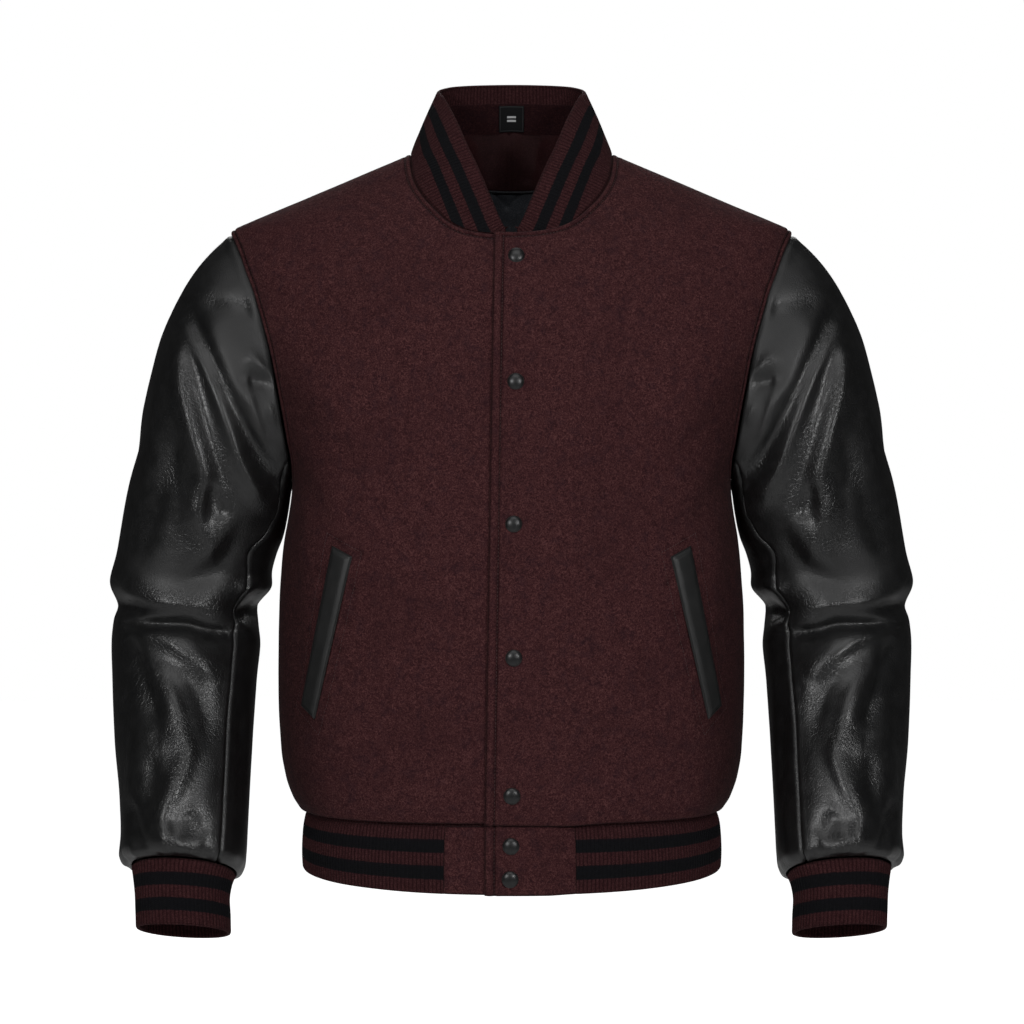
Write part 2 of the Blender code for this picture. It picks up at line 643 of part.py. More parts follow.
def build_sleeves():
    """Make the top sleeves and under sleeves of both arms."""
    grid, body_normals = sleeve_grid()
    normals = tube_normals(grid)
    grid = grid + normals * crease_field(grid, normals)[..., None]
    grid[0] = sleeve_grid()[0][0]
    normals = tube_normals(grid)
    agree = smoothstep(0.1, 0.6, (normals[0] * body_normals).sum(-1))[:, None]
    normals[0] = unit(body_normals * agree + normals[0] * (1 - agree))
    spans = (("sleeve_top", BACK_SEAM_STEP - SLEEVE_STEPS, FRONT_SEAM_STEP),
             ("sleeve_under", FRONT_SEAM_STEP, BACK_SEAM_STEP))
    for name, first, last in spans:
        steps = [k % SLEEVE_STEPS for k in range(first, last + 1)]
        part, part_normals = grid[:, steps], normals[:, steps]
        grid_wall(name + "_left", "black_leather", part, part_normals, LEATHER_WALL)
        grid_wall(name + "_right", "black_leather", mirrored(part), mirrored(part_normals),
                  LEATHER_WALL)


def build_cuffs():
    """Make the two rib cuffs."""
    angles = 2 * math.pi * np.arange(SLEEVE_STEPS) / SLEEVE_STEPS
    stations = (0.0, 0.8, 2.0, 3.0, 4.0)
    grid = np.array([ring_points(CUFF_RINGS, np.full(SLEEVE_STEPS, s), angles) for s in stations])
    normals = tube_normals(grid)
    faces = quads_of(len(stations), SLEEVE_STEPS, closed=True)
    for side, flip in (("left", lambda g: g), ("right", mirrored)):
        wall_solid("cuff_" + side, "striped_rib", flip(grid).reshape(-1, 3),
                   flip(normals).reshape(-1, 3), faces, RIB_WALL)


def full_collar():
    """Return the whole collar grid from the right end round to the left end."""
    grid, normals = collar_grid()
    whole = np.concatenate([mirrored(grid)[:-1], grid[::-1]])
    return whole, np.concatenate([mirrored(normals)[:-1], normals[::-1]])


def build_collar():
    """Make the rib collar, the neck facing inside it and the label."""
    grid, normals = full_collar()
    grid_wall("collar", "striped_rib", grid, normals, RIB_WALL, 2 * SEAM_HALF)
    middle = len(grid) // 2
    reach = NECK_BACK_STEPS
    rows = np.array(COLLAR_ROWS)
    part = np.arange(middle - reach, middle + reach + 1)
    facing, facing_normals = [], []
    for share in FACING_ROWS:
        facing.append([[np.interp(share, rows, grid[i, :, k]) for k in range(3)] for i in part])
        facing_normals.append([[np.interp(share, rows, normals[i, :, k]) for k in range(3)]
                               for i in part])
    facing = np.array(facing)
    facing_normals = unit(np.array(facing_normals))
    outer = facing - facing_normals * (RIB_WALL + 0.9 * MM)
    grid_wall("back_neck_facing", "maroon_wool", outer, facing_normals, LINING_WALL)
    half = LABEL_HALF
    seat = outer - facing_normals * (LINING_WALL + 0.9 * MM)
    label = []
    for share in (0.06, 0.88):
        row = seat[0] * (1 - share) + seat[-1] * share
        y = np.interp([-half, 0, half], row[:, 0], row[:, 1])
        z = np.interp([-half, 0, half], row[:, 0], row[:, 2])
        label.append([[x, yy, zz] for x, yy, zz in zip((-half, 0, half), y, z)])
    label = np.array(label)
    grid_wall("label", "label_weave", label, np.broadcast_to([0.0, 1.0, 0.0], label.shape) * 1.0,
              0.6 * MM)
    return outer[-1]


def lining_row(spec, steps=8):
    """Return one row of the neck lining."""
    z, back_y, half_width, side_y, sag = spec
    turn = np.linspace(-1, 1, steps + 1) * math.radians(68)
    x = half_width * np.sin(turn) / math.sin(math.radians(68))
    fall = (np.cos(turn) - math.cos(math.radians(68))) / (1 - math.cos(math.radians(68)))
    y = side_y + (back_y - side_y) * fall
    return np.stack([x, y, z - sag * fall], -1)


def build_lining(facing_foot):
    """Make the maroon yoke lining, its piping and the black lining below."""
    steps = 8
    first = lining_row(YOKE_ROWS[0], steps)
    top = np.stack([first[:, 0], first[:, 1], np.full(steps + 1, facing_foot[:, 2].min() - 0.6 * MM)], -1)
    yoke = np.array([top] + [lining_row(r, steps) for r in YOKE_ROWS])
    grid_wall("lining_yoke", "maroon_lining", yoke, -grid_normals(yoke), LINING_WALL)
    lower = np.array([lining_row(r, steps) for r in LOWER_ROWS])
    grid_wall("lining_lower", "black_lining", lower, -grid_normals(lower), LINING_WALL)
    foot, head = yoke[-1], lower[0]
    line = (foot + head) / 2
    radius = 0.9 * MM
    ring = [(math.cos(a) * radius, math.sin(a) * radius)
            for a in np.arange(6) * math.pi / 3 + math.pi / 6]
    points = np.array([[[p[0], p[1] - 0.5 * MM + dy, p[2] + dz] for dy, dz in ring] for p in line])
    rows, columns = points.shape[:2]
    mesh = bpy.data.meshes.new("lining_piping")
    faces = quads_of(rows, columns, closed=True)
    faces += [tuple(range(columns)), tuple((rows - 1) * columns + j for j in range(columns))]
    mesh.from_pydata(points.reshape(-1, 3).tolist(), [], faces)
    finish_object("lining_piping", "black_lining", mesh)


def build_waistband():
    """Make the rib of the waistband and the two wool tabs at its front."""
    rows = np.array([0.0, 1.0, 2.0, 3.0])

    def strip(angles, backs):
        columns = [band_point(np.full(4, a), rows, b) for a, b in zip(angles, backs)]
        return np.swapaxes(np.array(columns), 0, 1)

    quarter = math.pi / 2
    left = np.linspace(band_angle(TAB_LEFT_END), quarter, 9)
    right = np.linspace(band_angle(TAB_RIGHT_END), quarter, 9)
    behind = np.linspace(quarter, -quarter, RIB_STEPS - 16 + 1)[1:-1]
    front_left = strip(left, [False] * len(left))
    rear = strip(behind, [True] * len(behind))
    front_right = mirrored(strip(right, [False] * len(right)))[:, ::-1]
    rib = np.concatenate([front_left, rear, front_right], axis=1)
    rib_normals = -grid_normals(rib)
    rib_normals *= np.sign((rib_normals * (rib * np.array([1, 1, 0]))).sum(-1))[..., None]
    grid_wall("waistband_rib", "striped_rib", rib, rib_normals, RIB_WALL)

    def tab(name, start, end, lifted, flip):
        angles = np.linspace(band_angle(start), band_angle(end), 6)
        grid = strip(angles, [False] * 6)
        normals = unit(grid_normals(grid))
        normals *= np.sign((normals * (grid * np.array([1, 1, 0]))).sum(-1))[..., None]
        if lifted:
            rise = LAP_LIFT * (1 - smoothstep(0.030, TAB_LEFT_END, grid[..., 0]))
            grid = grid + normals * rise[..., None]
        if flip:
            grid, normals = mirrored(grid), mirrored(normals)
        grid_wall(name, "maroon_wool", grid, normals, WOOL_WALL)

    tab("waistband_tab_left", -OVER_EDGE_HEM, TAB_LEFT_END, True, False)
    tab("waistband_tab_right", -UNDER_EDGE, TAB_RIGHT_END, False, True)


def build_welts():
    """Make the two slanted pocket welts from points of their panels, moved out."""
    corners = np.array([row[1:] for row in WELT_CORNERS])
    grid, normals = [], []
    for t in np.linspace(0, 1, WELT_STEPS + 1):
        outer = corners[0] * (1 - t) + corners[3] * t
        inner = corners[1] * (1 - t) + corners[2] * t
        line = np.array([outer, (outer + inner) / 2, inner])
        angle = angle_at(line[:, 0], line[:, 1])
        puff = np.array([0.0, 1.2, 0.0]) * MM
        normal = torso_normal(angle, line[:, 1])
        grid.append(torso(angle, line[:, 1]) + normal * (0.5 * MM + WELT_WALL + puff)[:, None])
        normals.append(normal)
    grid, normals = np.array(grid), np.array(normals)
    for name, flip in (("pocket_welt_left", lambda g: g), ("pocket_welt_right", mirrored)):
        grid_wall(name, "black_leather", flip(grid), flip(normals), WELT_WALL)


def build_snaps():
    """Make the seven domed snap caps on the over panel and its tab."""
    for name, x, z in SNAPS:
        on_band = z < -0.612
        if on_band:
            angle = band_angle(x)
            rows = np.linspace(0.0, 3.0, 61)
            ladder = band_point(np.full(61, angle), rows, False)
            seat = np.array([x, ladder[np.abs(ladder[:, 2] - z).argmin(), 1] - 0.4 * MM, z])
            normal = np.array([0.0, -1.0, 0.0])
        else:
            angle = float(angle_at(x, z))
            seat = torso(np.array(angle), np.array(z))
            normal = torso_normal(np.array(angle), np.array(z))
        normal = unit(normal)
        seat = seat + normal * (LAP_LIFT + 0.45 * MM)
        side = unit(np.cross(np.array([0.0, 0.0, 1.0]), normal))
        up = np.cross(normal, side)
        profile = ((SNAP_RADIUS, 0.0), (SNAP_RADIUS, 0.35), (0.55 * SNAP_RADIUS, 0.92))
        points = []
        for radius, height in profile:
            for k in range(12):
                a = 2 * math.pi * k / 12
                points.append(seat + side * math.cos(a) * radius + up * math.sin(a) * radius
                              + normal * height * SNAP_HEIGHT)
        faces = quads_of(3, 12, closed=True)
        points.append(seat + normal * SNAP_HEIGHT)
        faces += [(24 + k, 24 + (k + 1) % 12, 36) for k in range(12)]
        faces.append(tuple(range(12)))
        mesh = bpy.data.meshes.new(name)
        mesh.from_pydata([tuple(p) for p in points], [], faces)
        finish_object(name, "black_enamel", mesh)


def build():
    """Clear the scene and make every piece of the jacket."""
    for item in list(bpy.data.objects):
        bpy.data.objects.remove(item)
    collection = bpy.data.collections.new(COLLECTION)
    bpy.context.scene.collection.children.link(collection)
    make_finishes()
    build_fronts()
    build_back()
    build_sleeves()
    build_cuffs()
    facing_foot = build_collar()
    build_lining(facing_foot)
    build_waistband()
    build_welts()
    build_snaps()


build()
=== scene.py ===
import logging
import math
from dataclasses import dataclass, field
from enum import Enum

import bmesh
import bpy
import numpy as np
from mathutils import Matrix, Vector
from mathutils.bvhtree import BVHTree


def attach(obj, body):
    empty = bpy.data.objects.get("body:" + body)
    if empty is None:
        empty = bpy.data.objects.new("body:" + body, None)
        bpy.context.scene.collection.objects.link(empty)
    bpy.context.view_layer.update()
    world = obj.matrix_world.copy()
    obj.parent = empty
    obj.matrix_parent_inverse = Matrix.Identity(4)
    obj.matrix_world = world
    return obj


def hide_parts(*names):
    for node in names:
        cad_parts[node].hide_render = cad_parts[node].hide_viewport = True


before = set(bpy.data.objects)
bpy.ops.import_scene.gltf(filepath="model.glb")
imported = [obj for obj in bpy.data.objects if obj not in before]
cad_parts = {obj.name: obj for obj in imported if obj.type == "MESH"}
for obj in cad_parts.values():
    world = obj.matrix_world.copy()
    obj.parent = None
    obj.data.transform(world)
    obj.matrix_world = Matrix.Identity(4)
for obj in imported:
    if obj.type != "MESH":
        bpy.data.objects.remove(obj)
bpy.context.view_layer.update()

logging.basicConfig(level=logging.INFO, format="%(name)s: %(message)s")
LOG = logging.getLogger("jacket")

MM = 0.001
Rows = tuple[tuple, ...]
Colour = tuple[float, float, float]
Line = tuple[tuple[float, float], ...]
Array = np.ndarray
Pair = tuple[Array, Array]
Piece = bpy.types.Object
Material = bpy.types.Material
Socket = bpy.types.NodeSocket
Tree = bpy.types.NodeTree

# cloth walls and seams, as the frame has them
WOOL_WALL = 2.4 * MM
LEATHER_WALL = 1.6 * MM
RIB_WALL = 3.2 * MM
LINING_WALL = 1.0 * MM
SEAM_HALF = 0.17 * MM
# how square a sleeve's rings are, the rib's pitch, how far the front edges pass the middle,
# how far the over front stands off, half the label, how near a stitch starts to its cloth
ARM_SQUARE = 2.12
RIB_PITCH = 3.6 * MM
OVER_EDGE = 0.0236
UNDER_EDGE = 0.018
LAP_LIFT = 3.9 * MM
LABEL_HALF = 0.0122
LAY_REACH = 0.008


# ------------------------------------------------------------------ curves
def smooth_table(keys: Array, values: Array, at: Array) -> Array:
    """Read a table at the given keys through a smooth curve without overshoot.

    Args:
        keys: rising keys of the table.
        values: one value or one row of values for each key.
        at: the keys to read it at.

    Returns:
        The values there.
    """
    x = np.asarray(keys, float)
    y = np.asarray(values, float)
    flat = y.ndim == 1
    y = y[:, None] if flat else y
    at = np.clip(np.asarray(at, float), x[0], x[-1])
    step = np.diff(x)[:, None]
    rise = np.diff(y, axis=0) / step
    m1 = 2 * rise[0] - rise[1] if len(rise) > 1 else rise[0]
    m0 = 2 * m1 - rise[0]
    n1 = 2 * rise[-1] - rise[-2] if len(rise) > 1 else rise[-1]
    n2 = 2 * n1 - rise[-1]
    m = np.vstack([m0, m1, rise, n1, n2])
    w1 = np.abs(m[3:] - m[2:-1]) + np.abs(m[3:] + m[2:-1]) / 2 + 1e-12
    w2 = np.abs(m[1:-2] - m[:-3]) + np.abs(m[1:-2] + m[:-3]) / 2 + 1e-12
    slope = (w1 * m[1:-2] + w2 * m[2:-1]) / (w1 + w2)
    i = np.clip(np.searchsorted(x, at, side="right") - 1, 0, len(x) - 2)
    h = (x[i + 1] - x[i])[..., None]
    t = ((at - x[i])[..., None]) / h
    out = (y[i] * (2 * t**3 - 3 * t**2 + 1) + slope[i] * h * (t**3 - 2 * t**2 + t)
           + y[i + 1] * (-2 * t**3 + 3 * t**2) + slope[i + 1] * h * (t**3 - t**2))
    return out[..., 0] if flat else out


def smooth_rows(table: Rows | Array, at: Array) -> Array:
    """Read a table at fractional row numbers."""
    return smooth_table(np.arange(len(table), dtype=float), table, at)


def smoothstep(edge0: float, edge1: float, value: Array) -> Array:
    """Return 0 at edge0, 1 at edge1 and a soft curve between."""
    t = np.clip((np.asarray(value, float) - edge0) / (edge1 - edge0), 0.0, 1.0)
    return t * t * (3 - 2 * t)


def unit(vectors: Array) -> Array:
    """Scale vectors to unit length along the last axis."""
    length = np.linalg.norm(vectors, axis=-1, keepdims=True)
    return vectors / np.maximum(length, 1e-12)


def crowded(count: int, amount: float) -> Array:
    """Return stops from 0 to 1 that crowd towards both ends."""
    s = np.linspace(0, 1, count)
    return s - amount * np.sin(2 * math.pi * s) / (2 * math.pi)


def square_reach(s: Array, c: Array, power: Array | float) -> Array:
    """Return the reach of a round section that's squared by a power."""
    return (np.abs(s) ** power + np.abs(c) ** power) ** (-1 / power)


def even_stops(points: Array, count: int) -> Pair:
    """Measure a polyline.

    Args:
        points: the polyline.
        count: how many equal steps it's cut into.

    Returns:
        The run to each of its points, and the runs of the even stops.
    """
    gaps = np.linalg.norm(np.diff(points, axis=0), axis=1)
    run = np.concatenate([[0.0], np.cumsum(gaps)])
    return run, np.linspace(0.0, run[-1], count + 1)


def run_along(points: Array) -> Array:
    """Return the run along a polyline to each of its points."""
    return even_stops(points, 1)[0]


def read_along(stops: Array, run: Array, points: Array) -> Array:
    """Return the points of a polyline at stops along its run."""
    return np.stack([np.interp(stops, run, points[:, k]) for k in range(3)], -1)


def line_gap(points: Array, line: Array) -> tuple[Array, Array, Array]:
    """Measure points against a polyline, in the plane or in space.

    Args:
        points: any shape, coordinates last.
        line: the polyline's points.

    Returns:
        The distance to the line, the share of its length at the nearest place,
        and the side of it that the point is on in the plane, from -1 to 1.
    """
    flat = points.reshape(-1, points.shape[-1])
    start, along = line[:-1], np.diff(line, axis=0)
    size = np.maximum((along**2).sum(-1), 1e-18)
    run = np.concatenate([[0.0], np.cumsum(np.sqrt(size))])
    best = np.full(len(flat), 1e9)
    share = np.zeros(len(flat))
    side = np.zeros(len(flat))
    for k in range(len(start)):
        reach = flat - start[k]
        t = np.clip(reach @ along[k] / size[k], 0.0, 1.0)
        off = reach - t[:, None] * along[k]
        gap = np.sqrt((off**2).sum(-1))
        near = gap < best
        best[near] = gap[near]
        share[near] = (run[k] + t[near] * (run[k + 1] - run[k])) / run[-1]
        if points.shape[-1] == 2:
            turn = along[k][0] * reach[:, 1] - along[k][1] * reach[:, 0]
            side[near] = np.sign(turn[near])
    shape = points.shape[:-1]
    return best.reshape(shape), share.reshape(shape), side.reshape(shape)


def soft_noise(points: Array, cells: float, seed: int) -> Array:
    """Return smooth noise from -1 to 1.

    Args:
        points: where to read it.
        cells: how many cells it has a metre.
        seed: which noise.

    Returns:
        One value for each point.
    """
    place = points * cells + seed * 17.31
    cell = np.floor(place).astype(np.int64)
    t = place - cell
    t = t * t * (3 - 2 * t)
    total = np.zeros(points.shape[:-1])
    for corner in np.ndindex(*(2,) * points.shape[-1]):
        key = np.zeros(points.shape[:-1], np.int64)
        weight = np.ones(points.shape[:-1])
        for axis, bit in enumerate(corner):
            key = key * 73856093 + (cell[..., axis] + bit) * (19349663 + 31 * axis)
            weight = weight * (t[..., axis] if bit else 1 - t[..., axis])
        key = ((key ^ (key >> 13)) * 1274126177) & 0x7FFFFFFF
        key = (key ^ (key >> 15)) & 0xFFFF
        total += weight * (key / 32767.5 - 1)
    return total


def bell(gap: Array, width: float) -> Array:
    """Return 1 at no gap and a soft fall to 0 past the width."""
    return np.exp(-((gap / width) ** 2))


def mirrored(grid: Array) -> Array:
    """Mirror points or normals from the wearer's left to the right."""
    return grid * np.array([-1.0, 1.0, 1.0])


SIDES = (("left", np.array), ("right", mirrored))


def inset(line: Array, normals: Array, inward: Array, amount: float) -> Array:
    """Move a line in over the cloth from its edge.

    Args:
        line: the edge's points.
        normals: the cloth's normals there.
        inward: a point that the cloth lies towards, for each point of the line.
        amount: how far to move it.

    Returns:
        The moved line.
    """
    across = unit(np.cross(normals, np.gradient(line, axis=0)))
    way = np.sign((across * (inward - line)).sum(-1, keepdims=True))
    return line + across * way * amount


# ------------------------------------------------------------------ folds
class Facing(Enum):
    """Which way cloth has to face for a fold to take hold, and how its line reads.

    Each value is the axis across, the axis up, the axis it faces and its sign.
    """

    FRONT = (0, 2, 1, -1.0)
    BACK = (0, 2, 1, 1.0)
    OUTER = (1, 2, 0, 1.0)
    INNER = (1, 2, 0, -1.0)


@dataclass(frozen=True)
class Fold:
    """A soft ridge or trough that lies along a drawn line.

    The line's points are (across, height). A height above nought is a ridge.
    A lean makes one flank steeper than the other.
    """

    name: str
    facing: Facing
    line: Line
    width: float
    height: float
    lean: float = 0.0
    fade: float = 0.30

    def lift(self, points: Array, normals: Array) -> Array:
        """Return how far the fold moves each point along its normal."""
        across, up, axis, sign = self.facing.value
        raw = np.array(self.line, float)
        fine = np.linspace(0, len(raw) - 1, 8 * (len(raw) - 1) + 1)
        line = smooth_rows(raw, fine)
        flat = points[..., [across, up]]
        gap, share, side = line_gap(flat, line)
        width = self.width * (1 + self.lean * side)
        ends = smoothstep(-0.12, self.fade, share) * smoothstep(-0.12, self.fade, 1 - share)
        hold = smoothstep(0.05, 0.55, normals[..., axis] * sign)
        return self.height * np.exp(-np.abs(gap / width) ** 1.9) * ends * hold


def drawn_folds(facing: Facing, *rows: tuple) -> tuple[Fold, ...]:
    """Return the folds of a table, all on cloth that faces one way."""
    return tuple(Fold(name, facing, *rest) for name, *rest in rows)


def folds_lift(folds: tuple[Fold, ...], points: Array, normals: Array) -> Array:
    """Return what all the folds together move each point."""
    total = np.zeros(points.shape[:-1])
    for fold in folds:
        total += fold.lift(points, normals)
    return total


@dataclass(frozen=True)
class Gathers:
    """Short uneven folds that run away from a seam where the cloth is gathered."""

    count: int
    width: tuple[float, float]
    length: tuple[float, float]
    height: float
    seed: int

    def lift(self, around: Array, away: Array) -> Array:
        """Return how far the gathers move each point.

        Args:
            around: the share of the way round the seam, 0 to 1.
            away: the distance from the seam.

        Returns:
            The move along the normal.
        """
        rng = np.random.default_rng(self.seed)
        places = (np.arange(self.count) + rng.uniform(-0.38, 0.38, self.count)) / self.count
        total = np.zeros(around.shape)
        for place in places:
            width = rng.uniform(*self.width)
            length = rng.uniform(*self.length)
            height = self.height * rng.uniform(0.35, 1.0) * rng.choice([-1.0, 1.0, -0.8])
            drift = rng.uniform(-0.35, 0.35) * width
            gap = around - place - drift * away / length
            gap = gap - np.round(gap)
            total += height * bell(gap, width) * np.exp(-((away / length) ** 1.6))
        return total


# ------------------------------------------------------------------ cloth walls
@dataclass
class Cloth:
    """The middle form of one cut piece: points, outward normals and faces.

    sheet holds each point's place on the flat cloth in metres, one pair for each
    corner of each face, so that a ring can close.
    """

    points: Array
    normals: Array
    faces: Array
    sheet: Array

    @classmethod
    def from_grid(cls, grid: Array, normals: Array, closed: bool = False,
                  sheet: Array | None = None) -> "Cloth":
        """Make the form from a grid of points.

        Args:
            grid: rows by columns of points.
            normals: the same of outward normals.
            closed: whether the last column joins the first.
            sheet: rows by columns of flat places, one column more when closed.

        Returns:
            The form.
        """
        rows, columns = grid.shape[:2]
        last = columns if closed else columns - 1
        i, j = np.meshgrid(np.arange(rows - 1), np.arange(last), indexing="ij")
        i, j = i.ravel(), j.ravel()
        k = (j + 1) % columns
        faces = np.stack([i * columns + j, i * columns + k,
                          (i + 1) * columns + k, (i + 1) * columns + j], -1)
        if sheet is None:
            sheet = np.zeros((rows, last + 1, 2))
        corners = np.stack([sheet[i, j], sheet[i, j + 1], sheet[i + 1, j + 1], sheet[i + 1, j]], 1)
        return cls(grid.reshape(-1, 3), normals.reshape(-1, 3), faces, corners)

    def rims(self) -> Pair:
        """Return the directed edges on one face only, and their flat places."""
        first = self.faces.ravel()
        second = np.roll(self.faces, -1, axis=1).ravel()
        count = len(self.points)
        alone = ~np.isin(first * count + second, second * count + first)
        places = np.stack([self.sheet.reshape(-1, 2),
                           np.roll(self.sheet, -1, axis=1).reshape(-1, 2)], 1)
        return np.stack([first, second], -1)[alone], places[alone]

    def pulls(self, edges: Array) -> dict[int, Array]:
        """Return the way in over the cloth from each point of the rim.

        Args:
            edges: the rim's directed edges.

        Returns:
            A way for each rim point, longer at a corner, so that both edges move in alike.
        """
        corner = self.points[self.faces[:, :3]]
        facing = np.cross(corner[:, 1] - corner[:, 0], corner[:, 2] - corner[:, 0])
        turn = np.sign((facing * self.normals[self.faces[:, 0]]).sum())
        along = unit(self.points[edges[:, 1]] - self.points[edges[:, 0]])
        ways = turn * unit(np.cross(self.normals[edges[:, 0]] + self.normals[edges[:, 1]], along))
        found: dict[int, list[Array]] = {}
        for (a, b), way in zip(edges, ways):
            found.setdefault(int(a), []).append(way)
            found.setdefault(int(b), []).append(way)
        out = {}
        for key, pair in found.items():
            way = unit(np.sum(pair, axis=0))
            out[key] = way / max(float(way @ pair[0]), 0.4)
        return out

    def wall(self, name: str, thickness: float, outer: Array, inner: Array,
             hold: float = 0.06 * MM, rounding: float = 0.25) -> Piece:
        """Make a closed wall with soft round edges.

        Args:
            name: the piece's name.
            thickness: the cloth's thickness.
            outer: how far each outer point is moved along its normal.
            inner: the same for the inner face.
            hold: how far the edges stay back from the seam.
            rounding: how far the faces stay back from the edge, as a share of thickness.

        Returns:
            The piece.
        """
        count = len(self.points)
        edges, places = self.rims()
        pulls = self.pulls(edges)
        ring = np.array(sorted(pulls))
        ways = np.array([pulls[k] for k in ring])
        seat = self.points.copy()
        seat[ring] += ways * hold
        outside = seat + self.normals * outer.reshape(-1, 1)
        inside = seat + self.normals * (inner.reshape(-1, 1) - thickness)
        soft = rounding * thickness
        arc = []
        for turn in (45.0, 90.0, 135.0):
            depth = (1 - math.cos(math.radians(turn))) / 2
            back = soft * (1 - math.sin(math.radians(turn)))
            arc.append(outside[ring] * (1 - depth) + inside[ring] * depth + ways * back)
        outside[ring] += ways * soft
        inside[ring] += ways * soft
        index = np.full(count, -1)
        index[ring] = np.arange(len(ring))
        a, b = edges[:, 0], edges[:, 1]
        levels = [(a, b)]
        levels += [(2 * count + k * len(ring) + index[a], 2 * count + k * len(ring) + index[b])
                   for k in range(3)]
        levels.append((a + count, b + count))
        faces = [self.faces, self.faces[:, ::-1] + count]
        corners = [self.sheet, self.sheet[:, ::-1]]
        for (a0, b0), (a1, b1) in zip(levels, levels[1:]):
            faces.append(np.stack([b0, a0, a1, b1], -1))
            corners.append(places[:, [1, 0, 0, 1]])
        points = np.vstack([outside, inside, *arc])
        return plain_piece(name, points, np.vstack(faces), np.vstack(corners))


def linked(name: str, data: bpy.types.ID) -> Piece:
    """Put an object in the scene."""
    made = bpy.data.objects.new(name, data)
    bpy.context.scene.collection.objects.link(made)
    return made


def keep_values(mesh: bpy.types.Mesh, name: str, values: Array) -> None:
    """Keep one number or one vector at each point of a mesh."""
    kind, part = ("FLOAT_VECTOR", "vector") if values.ndim == 2 else ("FLOAT", "value")
    kept = mesh.attributes.new(name, kind, "POINT")
    kept.data.foreach_set(part, values.astype(np.float32).ravel())


def plain_piece(name: str, points: Array, faces: Array, corners: Array | None = None) -> Piece:
    """Make a smooth outward piece from points and faces.

    Args:
        name: the piece's name.
        points: its points.
        faces: its faces, all with the same number of corners, or a list of tuples.
        corners: the flat place of each corner of each face.

    Returns:
        The piece, linked to the scene.
    """
    mesh = bpy.data.meshes.new(name)
    mesh.from_pydata(points.tolist(), [], [tuple(f) for f in np.asarray(faces).tolist()]
                     if isinstance(faces, np.ndarray) else faces)
    if corners is not None:
        layer = mesh.uv_layers.new(name="cloth")
        layer.data.foreach_set("uv", corners.reshape(-1).astype(np.float32))
    shell = bmesh.new()
    shell.from_mesh(mesh)
    bmesh.ops.recalc_face_normals(shell, faces=shell.faces)
    shell.to_mesh(mesh)
    shell.free()
    mesh.shade_smooth()
    return linked(name, mesh)


def tube_piece(name: str, path: Array, radius: float, sides: int = 10) -> Piece:
    """Make a closed round tube along a path.

    Args:
        name: the piece's name.
        path: the middle of the tube.
        radius: its radius.
        sides: how many sides it has.

    Returns:
        The piece.
    """
    along = unit(np.gradient(path, axis=0))
    up = np.broadcast_to([0.0, 0.0, 1.0], along.shape)
    side = unit(np.cross(along, up))
    over = np.cross(side, along)
    turns = np.arange(sides) * 2 * math.pi / sides
    rings = path[:, None] + radius * (side[:, None] * np.cos(turns)[None, :, None]
                                      + over[:, None] * np.sin(turns)[None, :, None])
    form = Cloth.from_grid(rings, rings, closed=True)
    last = (len(path) - 1) * sides
    faces = [tuple(f) for f in form.faces.tolist()]
    faces += [tuple(range(sides)), tuple(range(last, last + sides))]
    return plain_piece(name, rings.reshape(-1, 3), faces)


def mark(piece: Piece, name: str, values: Array) -> None:
    """Keep a value of every point of the form on both faces of its wall."""
    full = np.zeros(len(piece.data.vertices), np.float32)
    full[:2 * values.size] = np.tile(values.ravel(), 2)
    keep_values(piece.data, name, full)


